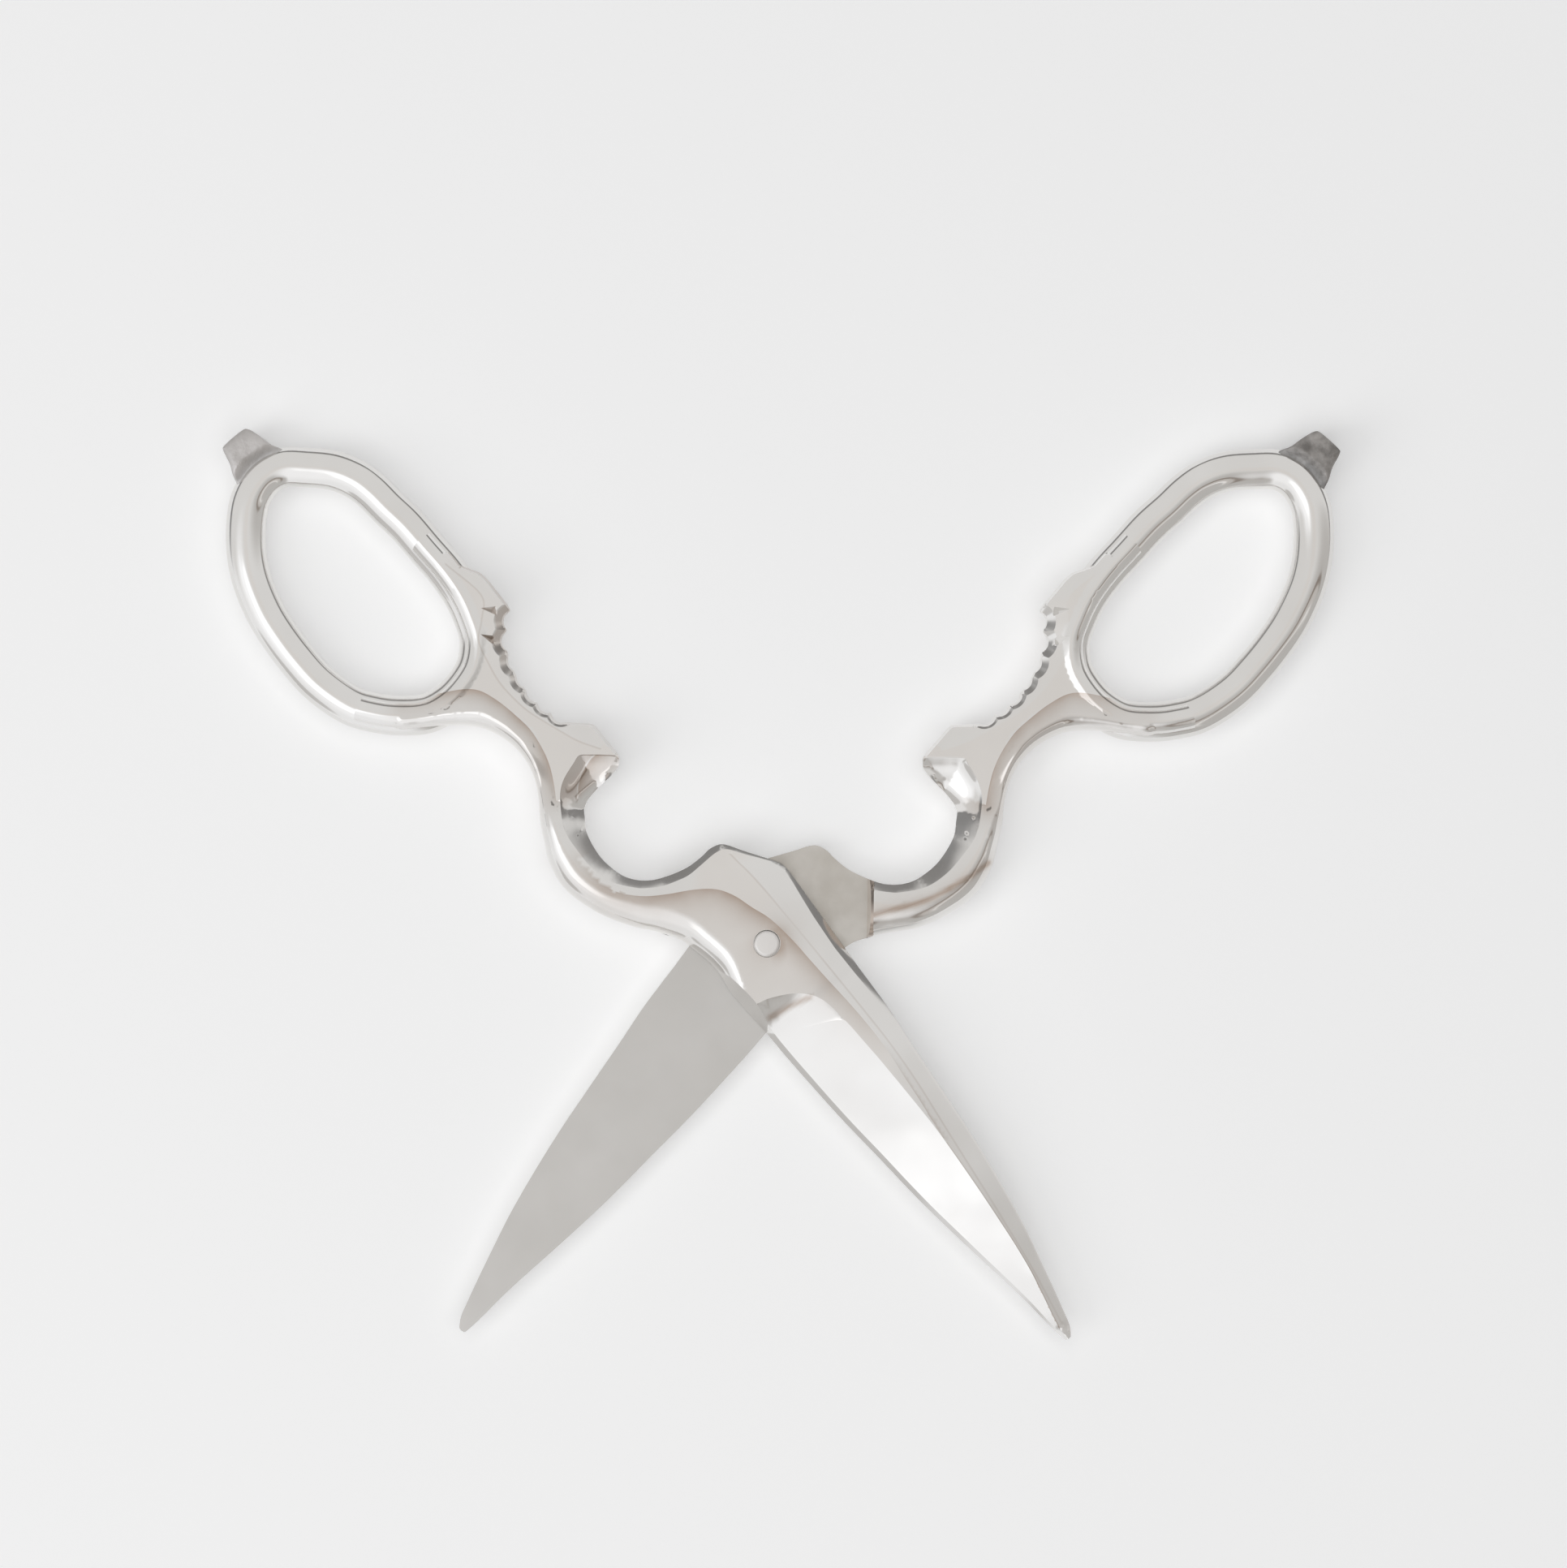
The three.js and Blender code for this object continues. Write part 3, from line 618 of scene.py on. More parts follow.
@dataclass
class Skin:
    """A closed skin between an upper and a lower height over one plan.

    Attributes:
        name: Name of the piece.
        depth: How deep a point lies inside the plan's outline.
        upper: Height of the upper side.
        lower: Height of the lower side.
        rails: Lines in plan along which the surface may turn sharply.
        box: Lowest x and y, then highest x and y of the plan.
        pitch: Spacing of points away from lines.
        holes: Radius of the round hole at the pivot on the upper and the lower side,
            and the (radius, height) steps between them.
        rings: Depths inside the outline that carry rings of points.
        outline_pitch: Spacing of points along the outline.
    """

    name: str
    depth: Field
    upper: Field
    lower: Field
    rails: Sequence[Array]
    box: Array
    pitch: float = 0.6
    holes: Sequence[tuple[float, float]] = ()
    rings: Sequence[float] = (0.04, 0.12, 0.26, 0.46, 0.75, 1.1, 1.5, 1.9, 2.35)
    outline_pitch: float = 0.34

    def build(self) -> tuple[Array, Array, Array, Array]:
        """Makes the skin.

        Returns:
            Points, triangles, a normal for each triangle corner, and for each triangle
            0 on the upper side, 1 on the lower side and 2 on a wall.
        """
        plan, faces, sharp = self.plan()
        radius = np.hypot(*plan[faces].mean(axis=1).T)
        wide, narrow = (self.holes[0][0], self.holes[-1][0]) if self.holes else (0, 0)
        upper_faces = faces[radius > wide * 0.999]
        lower_faces = faces[radius > narrow * 0.999]
        top, low = self.upper(plan), self.lower(plan)
        count = len(plan)
        points = np.vstack([np.c_[plan, top], np.c_[plan, low]])
        wall, wall_normals = self.walls(plan, faces, count)
        triangles = [upper_faces, lower_faces[:, ::-1] + count, wall]
        upper_normals = self.normals(self.upper, plan, upper_faces, sharp)
        lower_normals = -self.normals(self.lower, plan, lower_faces, sharp)
        normals = [upper_normals, lower_normals[:, ::-1], wall_normals]
        if self.holes:
            extra, bore, bore_normals = self.bore(plan, upper_faces, lower_faces, len(points), top, low)
            points = np.vstack([points, extra])
            triangles.append(bore)
            normals.append(bore_normals)
        kinds = np.repeat([0, 1, 2, 2][: len(triangles)], [len(part) for part in triangles])
        return points, np.vstack(triangles), np.vstack(normals), kinds

    def plan(self) -> tuple[Array, Array, Array]:
        """Cuts the plan into triangles.

        Returns:
            Points, triangles wound to the left, and whether each point is on a rail.
        """
        levels = level_loops(self.depth, self.box, 0.4, (0, *self.rings))
        outlines = [evened(loop, self.depth, 0, self.outline_pitch) for loop in levels[0]]
        outlines = [settle(outline, self.depth, 0) for outline in outlines]
        inner = []
        for index, (ring, loops) in enumerate(zip(self.rings, levels[1:])):
            pitch = self.outline_pitch if index < 3 else self.pitch * 0.8
            inner += [evened(loop, self.depth, ring, pitch) for loop in loops]
        rails = [(even_line(rail, self.outline_pitch * 1.2), False) for rail in self.rails]
        angles = np.linspace(0, 2 * math.pi, 64, endpoint=False)
        for radius in sorted({radius for radius, _ in self.holes}):
            rails.append((radius * np.c_[np.cos(angles), np.sin(angles)], True))
        sharp_lines = [Line(line, closed) for line, closed in rails]
        edges: list[tuple[int, int]] = []
        total = 0
        for line, closed in [*((outline, True) for outline in outlines), *rails]:
            edges += chain(len(line), closed, total)
            total += len(line)
        everything = np.vstack([*outlines, *(line for line, _ in rails), self.filling(sharp_lines, inner)])
        result = delaunay_2d_cdt([Vector(p) for p in everything.tolist()], edges, [], 0, 1e-5, False)
        points = np.array([(p[0], p[1]) for p in result[0]])
        faces = np.array([face for face in result[2] if len(face) == 3])
        turn = np.cross(points[faces[:, 1]] - points[faces[:, 0]], points[faces[:, 2]] - points[faces[:, 0]])
        faces[turn < 0] = faces[turn < 0][:, ::-1]
        faces = faces[np.abs(turn) > 1e-9]
        middle = points[faces].mean(axis=1)
        inside = np.zeros(len(middle), bool)
        for outline in outlines:
            inside ^= Outline(outline).holds(middle)
        faces = faces[inside]
        sharp = np.zeros(len(points), bool)
        for line in sharp_lines:
            sharp |= line.distance(points) < 1e-3
        used, faces_flat = np.unique(faces, return_inverse=True)
        return points[used], faces_flat.reshape(-1, 3), sharp[used]

    def filling(self, rails: Sequence[Line], inner: Sequence[Array]) -> Array:
        """Points inside the outline that keep clear of the rails.

        Args:
            rails: The rails.
            inner: Rings of points inside the outline.

        Returns:
            The points.
        """
        rise = self.pitch * math.sqrt(3) / 2
        rows = np.arange(self.box[1], self.box[3], rise)
        cells = []
        for index, y in enumerate(rows):
            xs = np.arange(self.box[0] + (index % 2) * self.pitch / 2, self.box[2], self.pitch)
            cells.append(np.c_[xs, np.full(len(xs), y)])
        spread = np.vstack(cells)
        spread = spread[self.depth(spread) > self.rings[-1] + 0.35 * self.pitch]
        rings = np.vstack(inner)
        for rail in rails:
            spread = spread[rail.distance(spread) > 0.45 * self.pitch]
            rings = rings[rail.distance(rings) > 0.16]
        return np.vstack([spread, rings])

    def normals(self, height: Field, plan: Array, faces: Array, sharp: Array) -> Array:
        """Upward normals of a height at the corners of triangles.

        Args:
            height: The height over the plan.
            plan: The plan's points.
            faces: Triangles of the plan.
            sharp: Whether each point is on a rail, where each side has its own normal.

        Returns:
            One normal for each corner.
        """
        inward = unit(slope_of(self.depth, plan, 0.01))
        near = self.depth(plan) < 0.02
        smooth_at = plan + np.where(near, 0.02, 0)[:, None] * inward
        slope = slope_of(height, smooth_at, 0.006)
        corner_slope = slope[faces]
        split = sharp[faces]
        middle = plan[faces].mean(axis=1)
        face_index, corner = np.nonzero(split)
        at = plan[faces[face_index, corner]]
        pull = middle[face_index] - at
        length = np.maximum(np.hypot(*pull.T), 1e-9)
        pull *= (np.minimum(0.05, 0.3 * length) / length)[:, None]
        corner_slope[face_index, corner] = slope_of(height, at + pull, 0.002)
        normals = np.dstack([-corner_slope[..., 0], -corner_slope[..., 1], np.ones(split.shape)])
        normals /= np.linalg.norm(normals, axis=2, keepdims=True)
        spots = np.c_[plan, height(plan)][faces]
        facing = np.cross(spots[:, 1] - spots[:, 0], spots[:, 2] - spots[:, 0])
        facing /= np.maximum(np.linalg.norm(facing, axis=1), 1e-12)[:, None]
        turn = np.degrees(np.arccos(np.clip((facing[:, None] * normals).sum(axis=2), -1, 1)))
        normals = mix(normals, facing[:, None], ease((turn - 32) / 12)[..., None])
        return normals / np.linalg.norm(normals, axis=2, keepdims=True)

    def walls(self, plan: Array, faces: Array, count: int) -> tuple[Array, Array]:
        """Joins the outline's upper points to its lower points.

        Args:
            plan: The plan's points.
            faces: All triangles of the plan.
            count: How many points the upper side has.

        Returns:
            Triangles, and their corners' normals.
        """
        rim = border_of(faces)
        first, second = rim[:, 0], rim[:, 1]
        flat = np.c_[unit(-slope_of(self.depth, plan, 0.02)), np.zeros(len(plan))]
        below = second + count
        triangles = np.vstack([np.c_[first, first + count, below], np.c_[first, below, second]])
        return triangles, flat[triangles % count]

    def bore(
        self, plan: Array, upper: Array, lower: Array, first: int, top: Array, low: Array
    ) -> tuple[Array, Array, Array]:
        """Makes the wall of the round hole from its upper mouth to its lower mouth.

        Args:
            plan: The plan's points.
            upper: Triangles of the upper side.
            lower: Triangles of the lower side.
            first: Index of the first new point.
            top: Heights of the upper side's points.
            low: Heights of the lower side's points.

        Returns:
            New points, triangles, and their corners' normals.
        """
        count = len(plan)
        mouths = []
        for faces, radius in ((upper, self.holes[0][0]), (lower, self.holes[-1][0])):
            rim = np.unique(border_of(faces))
            rim = rim[np.abs(np.hypot(*plan[rim].T) - radius) < 0.02]
            mouths.append(rim[np.argsort(np.arctan2(plan[rim, 1], plan[rim, 0]))])
        sides = len(mouths[0])
        if len(mouths[1]) != sides:
            raise ValueError(f"{self.name}: the hole's mouths have {sides} and {len(mouths[1])} points")
        turns = np.arctan2(plan[mouths[0], 1], plan[mouths[0], 0])
        cos, sin = np.cos(turns), np.sin(turns)
        levels = [np.c_[plan[mouths[0]], top[mouths[0]]]]
        for radius, height in self.holes[1:-1]:
            levels.append(np.c_[radius * cos, radius * sin, np.full(sides, height)])
        levels.append(np.c_[plan[mouths[1]], low[mouths[1]]])
        points, triangles, normals = [], [], []
        k = np.arange(sides)
        n = (k + 1) % sides
        faces = np.vstack([np.c_[k, n, sides + n], np.c_[k, sides + n, sides + k]])
        for above, below in zip(levels, levels[1:]):
            triangles.append(faces + first + sides * len(points))
            points += [above, below]
            drop = above[:, 2] - below[:, 2]
            shrink = np.hypot(*above[:, :2].T) - np.hypot(*below[:, :2].T)
            scale = np.maximum(np.hypot(drop, shrink), 1e-9)
            facing = np.c_[-cos * drop / scale, -sin * drop / scale, shrink / scale]
            normals.append(np.vstack([facing, facing])[faces])
        return np.vstack(points), np.vstack(triangles), np.vstack(normals)


def border_of(faces: Array) -> Array:
    """Directed edges that only one triangle has.

    Args:
        faces: The triangles.

    Returns:
        The edges, one row each.
    """
    edges = np.vstack([faces[:, [0, 1]], faces[:, [1, 2]], faces[:, [2, 0]]])
    keys = {(int(a), int(b)) for a, b in edges}
    return np.array([edge for edge in keys if (edge[1], edge[0]) not in keys])


@dataclass
class ForgedHalf:
    """One forged half with its blade, joint, shank, web and bow.

    Attributes:
        name: Which half it is, as the start of its pieces' names.
        node: The model's node that it stands for.
        body: The body that it moves with.
        side: Which face looks up on the table.
        blade_reach: Reach of the blade from the pivot.
        blade_set: How far the blade is set towards its edge, in degrees.
        handle_length: Length of the handle from the joint to the end of its bow.
        handle_spread: Spread of the handle from the line of symmetry.
        opening: How far the half is turned from closed, in degrees.
        holes: Radius and height steps of the hole for the rivet, from the outer face.
        bar_shy: How far the skin stays inside the swept bar of the bow.
        scallop_radius: Radius of the cuts that leave the teeth.
        wall_slope: How far the inner wall falls for its width.
    """

    name: str
    node: str
    body: str
    side: Side
    blade_reach: float
    blade_set: float
    handle_length: float
    handle_spread: float
    opening: float
    holes: tuple[tuple[float, float], ...]
    bar_shy: float = 0.05
    scallop_radius: float = 1.75
    wall_slope: float = 0.87

    def handle_point(self, shares: Sequence[float]) -> tuple[float, float]:
        """Place of a handle point given as shares."""
        return shares[0] * self.handle_spread, JOINT_REACH + shares[1] * self.handle_length

    def set_over(self, x: Array, y: Array) -> tuple[Array, Array]:
        """Places on the blade, turned by the blade's set."""
        turn = -math.radians(self.blade_set)
        return x * math.cos(turn) - y * math.sin(turn), x * math.sin(turn) + y * math.cos(turn)

    def blade_turned(self, points: Sequence[Sequence[float]]) -> Array:
        """Points below the pivot turned by the blade's set and scaled to its reach.

        Args:
            points: The points.

        Returns:
            The moved points.
        """
        moved = np.array(points, float)
        below = moved[:, 1] < 0
        moved[below, 1] *= self.blade_reach / DRAWN_BLADE
        moved[below] = np.column_stack(self.set_over(*moved[below].T))
        return moved

    @cached_property
    def rows(self) -> Array:
        """Rows of the stem: outer x, y, inner x, y, crown and flatness."""
        rows = []
        for ox, oy, ix, iy, crown in STEM_SHARES:
            rows.append([*self.handle_point((ox, oy)), *self.handle_point((ix, iy)), crown, 0])
        wide, high = JOINT_HALF_WIDTH, JOINT_REACH
        for ox, oy, ix, iy, crown, flat in JOINT_SHARES:
            rows.append([ox * wide, oy * high, ix * wide, iy * high, crown, flat])
        for edge, spine, y, crown in BLADE_SHARES:
            sides = [self.set_over(x * wide, y * self.blade_reach) for x in (edge, spine)]
            rows.append([*sides[0], *sides[1], crown, 1])
        return smooth_line(rows, ROW_STEPS)

    @cached_property
    def flat_rows(self) -> Array:
        """The rows of the flat part: the joint below the shank, and the blade."""
        return self.rows[self.rows[:, 5] > 0.99]

    @cached_property
    def outer_line(self) -> Line:
        """Outer side of the stem and the blade's cutting edge."""
        return Line(self.rows[:, :2])

    @cached_property
    def stem_crease(self) -> Array:
        """Inner side of the stem down to the web's crease, and on along the crease."""
        stem = self.rows[:WEB_END, 2:4]
        crease = self.web_crease.points
        return np.vstack([stem, crease[crease[:, 1] < stem[-1, 1] - 0.8]])

    @cached_property
    def inner_line(self) -> Line:
        """Inner side of the stem's crown, which follows the arris along the shank."""
        arris = self.arris.points
        meeting = int(np.argmin(np.hypot(*(arris - self.stem_crease[-1]).T)))
        return Line(np.vstack([self.stem_crease, arris[meeting + 1 :]]))

    @cached_property
    def past_stem(self) -> Outline:
        """The web beside the hook, on the far side of its crease with the stem's bar."""
        corners = [(-9, 38), (-3, 38), (-3, 47)]
        return Outline(np.vstack([self.stem_crease[WEB_END - 1 :], corners]))

    @cached_property
    def stem(self) -> Outline:
        """Outline of the stem, the joint and the blade."""
        return Outline(np.vstack([self.rows[:, :2], self.rows[::-1, 2:4]]))

    @cached_property
    def web(self) -> Outline:
        """Outline of the web before the bay's teeth are cut."""
        return Outline(even_line(np.array([self.handle_point(s) for s in WEB_SHARES]), 0.5, True))

    @cached_property
    def bow(self) -> Outline:
        """Middle line of the bow's bar."""
        return Outline(smooth_line([self.handle_point(s) for s in BOW_SHARES], 8, True))

    @cached_property
    def scallop_bottoms(self) -> Array:
        """Deepest points of the bay's scallops."""
        return np.array([self.scaled(point) for point in SCALLOPS])

    @cached_property
    def scallop_centres(self) -> Array:
        """Centres of the round cuts that leave the bay's teeth."""
        outward = unit(np.array(self.handle_point(BAY_CENTRE_SHARES)) - self.scallop_bottoms)
        return self.scallop_bottoms + outward * self.scallop_radius

    @cached_property
    def nicks(self) -> list[Array]:
        """Corners of the chisel nicks behind the first scallops."""
        return [np.array([self.scaled(point) for point in nick]) for nick in NICKS]

    @cached_property
    def nick_lines(self) -> list[Array]:
        """Edges of the nicks' three small facets."""
        lines = []
        for nick in self.nicks:
            lines.append(np.vstack([nick, nick[:1]]))
            lines += [np.array([corner, nick.mean(axis=0)]) for corner in nick]
        return lines

    @cached_property
    def hook_lip(self) -> Array:
        """The lip across the hook's hollowed underside."""
        return self.drawn(HOOK_LIP, 4)

    @cached_property
    def past_web_crease(self) -> Outline:
        """The web's side of the crease between the stem's bar and the web."""
        corners = [(3, 36), (40, 40), (40, 110), (-24, 110)]
        return Outline(np.vstack([self.web_crease.points, corners]))

    @cached_property
    def web_crease(self) -> Line:
        """The crease between the stem's bar and the web."""
        return Line(self.drawn(WEB_CREASE, 5))

    @cached_property
    def bay_crease(self) -> Line:
        """The line along which the web turns down towards the bay."""
        return Line(self.drawn(BAY_CREASE, 5))

    @cached_property
    def bay_side(self) -> Outline:
        """The part of the plan on the bay's side of the bay crease."""
        return Outline(np.vstack([self.bay_crease.points, [(40, 40), (40, 100), (-1, 100)]]))

    @cached_property
    def arris(self) -> Line:
        """Top edge of the inner wall, from the hook's point to the blade's."""
        spine = self.flat_rows[:, 2:4]
        spine = spine[spine[:, 1] < 6.2]
        widths = np.interp(-spine[:, 1], *np.transpose(SPINE_WALL))
        ahead = unit(np.gradient(spine, axis=0))
        inward = np.c_[ahead[:, 1], -ahead[:, 0]]
        inward *= np.where(inward[:, :1] > 0, -1, 1)
        line = spine + inward * widths[:, None]
        line = line[line[:, 1] > -self.blade_reach + 1]
        return Line(np.vstack([self.drawn(SHANK_ARRIS, 5), line[::3]]))

    def scaled(self, point: Sequence[float]) -> tuple[float, float]:
        """A point measured on the upper half, moved to this half's own size.

        Args:
            point: Its x and y.

        Returns:
            The x and y on this half.
        """
        x, y = point
        share = min(max((y - 14) / 8, 0), 1)
        wide = 1 + share * (self.handle_spread / DRAWN_SPREAD - 1)
        long = 1 + share * (self.handle_length / DRAWN_HANDLE - 1)
        return x * wide, JOINT_REACH + (y - JOINT_REACH) * long

    def drawn(self, points: Sequence[Sequence[float]], per_span: int) -> Array:
        """A smooth line through points measured on the upper half."""
        return smooth_line([self.scaled(point) for point in points], per_span)

    def along(self, y: float) -> float:
        """A y measured on the upper half, moved to this half's own size."""
        return self.scaled((0, y))[1]

    @cached_property
    def ridge(self) -> Array:
        """The soft ridge from the shank down the blade to the bevel's top."""
        return smooth_line(self.blade_turned([self.scaled(p) for p in RIDGE]), 4)

    @cached_property
    def crease(self) -> Line:
        """The crease between the ridge and the spine."""
        return Line(smooth_line(self.blade_turned([self.scaled(p) for p in CREASE]), 4))

    @cached_property
    def bevel_top(self) -> Array:
        """Top of the long ground bevel."""
        return smooth_line(self.blade_turned(BEVEL_TOP), 4)

    @cached_property
    def scoop_rim(self) -> Array:
        """Rim of the plunge's scoop."""
        return smooth_line(SCOOP_RIM, 4)

    @cached_property
    def scoop_foot(self) -> Array:
        """Foot of the plunge's scoop."""
        return smooth_line(SCOOP_FOOT, 4)

    @cached_property
    def edge_rows(self) -> Array:
        """Places of the cutting edge by falling y."""
        line = self.flat_rows[:, :2]
        return line[np.concatenate([[True], np.diff(np.minimum.accumulate(line[:, 1])) < 0])]

    @cached_property
    def facet_top(self) -> Array:
        """Top of the narrow facet that runs along the cutting edge."""
        edge = self.edge_rows[self.edge_rows[:, 1] < -15.5]
        width = np.interp(-edge[:, 1], [15.5, 60, 84.5], [0.95, 0.75, 0.35])
        return np.vstack([smooth_line(FACET_TOP, 4), edge + np.c_[width, 0 * width]])

    @staticmethod
    def across(line: Array, y: Array) -> Array:
        """The x of a falling line at given y."""
        return np.interp(-y, -line[:, 1], line[:, 0])

    @cached_property
    def ridge_line(self) -> Line:
        """The ridge and the bevel's top below it, to measure from."""
        tail = self.bevel_top[self.bevel_top[:, 1] < self.ridge[-1, 1]]
        return Line(np.vstack([self.ridge, tail]))

    @cached_property
    def beyond_ridge(self) -> Outline:
        """The part of the half on the spine's side of the ridge."""
        corners = [(0, -95), (60, -95), (60, 30), (-3, 30)]
        return Outline(np.vstack([self.ridge_line.points, corners]))

    @cached_property
    def beyond_crease(self) -> Outline:
        """The part of the half on the spine's side of the crease."""
        return Outline(np.vstack([self.crease.points, [(0.3, -95), (60, -95), (60, 15.5)]]))

    def rough_depth(self, at: Array) -> Array:
        """How deep points lie inside the joined stem, web and bar, exact only at the outline.

        Args:
            at: The points.

        Returns:
            Their depths, negative outside.
        """
        bar = BOW_BAR_WIDTH / 2 - self.bar_shy - self.bow.distance(at)
        joined = np.maximum(self.stem.depth(at), self.web_depth(at))
        return np.maximum(joined, np.minimum(bar, joined + 5))

    @cached_property
    def box(self) -> Array:
        """Lowest x and y, then highest x and y of the half's plan."""
        every = np.vstack([self.stem.points, self.web.points, self.bow.points])
        return np.concatenate([every.min(axis=0) - 4, every.max(axis=0) + 4])

    @cached_property
    def outlines(self) -> list[Outline]:
        """The outline of the half's plan and of the hole that its bow leaves."""
        loops = level_loops(self.rough_depth, self.box, 0.35, (0,))[0]
        return [Outline(evened(loop, self.rough_depth, 0, 0.2)) for loop in loops if len(loop) > 60]

    def depth(self, at: Array) -> Array:
        """How deep points lie inside the half's plan, without the free part of its bow.

        Args:
            at: The points.

        Returns:
            Their depths, negative outside.
        """
        inside = np.zeros(len(at), bool)
        nearest = np.full(len(at), np.inf)
        for outline in self.outlines:
            inside ^= outline.holds(at)
            nearest = np.minimum(nearest, outline.distance(at))
        return np.where(inside, nearest, -nearest)

    @cached_property
    def scallop_lines(self) -> list[Array]:
        """Rims of the scallops' drafted walls and the sharp teeth between them."""
        centres, bottoms = self.scallop_centres, self.scallop_bottoms
        lines = []
        ends: list[list[float]] = [[] for _ in centres]
        for k in range(len(centres) - 1):
            apart = centres[k + 1] - centres[k]
            gap = float(np.hypot(*apart))
            side = np.array([-apart[1], apart[0]]) / gap
            if side @ (bottoms[k : k + 2].mean(axis=0) - centres[k : k + 2].mean(axis=0)) < 0:
                side = -side
            tooth = []
            for sunk in np.linspace(0, min(SCALLOP_WIDTHS[k : k + 2]), 12):
                first = self.scallop_radius + SCALLOP_WIDTHS[k] - sunk
                second = self.scallop_radius + SCALLOP_WIDTHS[k + 1] - sunk
                along = (gap**2 + first**2 - second**2) / (2 * gap)
                out = math.sqrt(max(first**2 - along**2, 0))
                tooth.append(centres[k] + apart / gap * along + side * out)
            lines.append(np.array(tooth))
            for j in (k, k + 1):
                ends[j].append(math.atan2(*(tooth[0] - centres[j])[::-1]))
        for k, centre in enumerate(centres):
            bottom = bottoms[k] - centre
            middle = math.atan2(bottom[1], bottom[0])
            turns = [(end - middle + math.pi) % (2 * math.pi) - math.pi for end in ends[k]]
            if k == 0 or k == len(centres) - 1:
                turns.append(-1.4 if turns[0] > 0 else 1.4)
            angles = middle + np.linspace(min(turns), max(turns), 17)
            ways = np.c_[np.cos(angles), np.sin(angles)]
            rim = centre + ways * (self.scallop_radius + SCALLOP_WIDTHS[k])
            lines.append(rim[self.web_depth(rim) > 0.1])
        return [line for line in lines if len(line) > 2]

    def web_depth(self, at: Array) -> Array:
        """How deep points lie inside the web with its teeth cut.

        Args:
            at: The points.

        Returns:
            Their depths, negative outside.
        """
        depth = self.web.depth(at)
        for centre in self.scallop_centres:
            depth = np.minimum(depth, np.hypot(*(at - centre).T) - self.scallop_radius)
        return depth

    def thickness(self, y: Array) -> Array:
        """Height of the joint and blade above the shearing face."""
        return HALF_THICKNESS * np.interp(-y, -self.flat_rows[:, 3], self.flat_rows[:, 4])

    def plate(self, at: Array) -> Array:
        """Height of the joint plate and of the blade's back, before grinding.

        Args:
            at: The points.

        Returns:
            Their heights.
        """
        full = self.thickness(at[:, 1])
        slim = full / HALF_THICKNESS
        to_ridge = self.ridge_line.distance(at)
        to_crease = self.crease.distance(at)
        to_arris = self.arris.distance(at)
        past_ridge = self.beyond_ridge.holds(at)
        past_crease = self.beyond_crease.holds(at)
        first_drop = 0.24 * slim
        second_drop = 0.62 * slim * np.clip((15.5 - at[:, 1]) / 6, 0, 1)
        level = full - 0.1 * slim * ease(to_ridge / 8) * (1 - past_ridge)
        share = to_ridge / np.maximum(to_ridge + np.minimum(to_crease, to_arris), 1e-6)
        level = np.where(past_ridge, full - first_drop * share, level)
        share = to_crease / np.maximum(to_crease + to_arris, 1e-6)
        return np.where(past_crease, full - first_drop - second_drop * share, level)

    def crown(self, at: Array) -> Array:
        """Height of the stem, round along the shank and flat over the joint.

        Args:
            at: The points.

        Returns:
            The height at each, 0 off the stem.
        """
        to_outer, place = self.outer_line.nearest(at)
        to_inner = self.inner_line.distance(at)
        rows = np.arange(len(self.rows))
        tall = HALF_THICKNESS * np.interp(place, rows, self.rows[:, 4])
        beside_hook = np.exp(-(((place - 60) / 10) ** 2))
        tall = tall * (1 - 0.22 * beside_hook)
        flat = np.interp(place, rows, self.rows[:, 5])
        share = to_outer / np.maximum(to_outer + to_inner, 1e-6)
        lopsided = ease((place - 64) / 12)
        summit = mix(0.5 - 0.12 * beside_hook, 0.66, lopsided)
        rising = crown_of(np.minimum(share / summit, 1) - 1)
        past = np.clip((share - summit) / (1 - summit), 0, 1)
        off_centre = self.bow.distance(at)
        into_hole = np.where(self.bow.holds(at), off_centre, -off_centre)
        under_bar = ease((into_hole + 1.15) / 1.2)
        web_share = np.clip(WEB_THICKNESS / 2 / tall, 0, 1) * (1 - under_bar)
        eased = web_share + (1 - web_share) * (1 - ease(past))
        falling = mix(eased, 1 - 0.13 * past**2, lopsided)
        rounded = tall * np.where(share < summit, rising, falling)
        rolled = np.interp(-at[:, 1], [-12, -3, 2, 6.5, 9], [4.6, 4.2, 3.2, 1.3, 0.3])
        plate = self.plate(at) * crown_of(1 - np.clip(to_outer / rolled, 0, 1))
        return np.where(self.stem.holds(at) & ~self.past_stem.holds(at), mix(rounded, plate, ease(flat)), 0)

    def bar(self, at: Array) -> Array:
        """Height of the bow's bar."""
        place = self.bow.distance(at) / (BOW_BAR_WIDTH / 2)
        return BOW_THICKNESS / 2 * np.sqrt(np.maximum(0, 1 - place**2)) - self.bar_shy

    def web_face(self, at: Array) -> Array:
        """Height of the web's face, which turns down towards the bay."""
        fall = np.where(self.bay_side.holds(at), self.bay_crease.distance(at), 0)
        return WEB_THICKNESS / 2 - 0.1 * fall

    def web_top(self, at: Array) -> Array:
        """Height of the web, which runs on a little way inside the bar that it joins.

        Args:
            at: The points.

        Returns:
            Their heights.
        """
        inside = self.web_depth(at)
        under_bar = self.bow.distance(at) < BOW_BAR_WIDTH / 2 - 0.05
        run_out = np.where(under_bar & (self.web.depth(at) < 0), ease((inside + 1.3) / 0.7), 0)
        return self.web_face(at) * np.where((inside > 0) | self.past_stem.holds(at), 1, run_out)

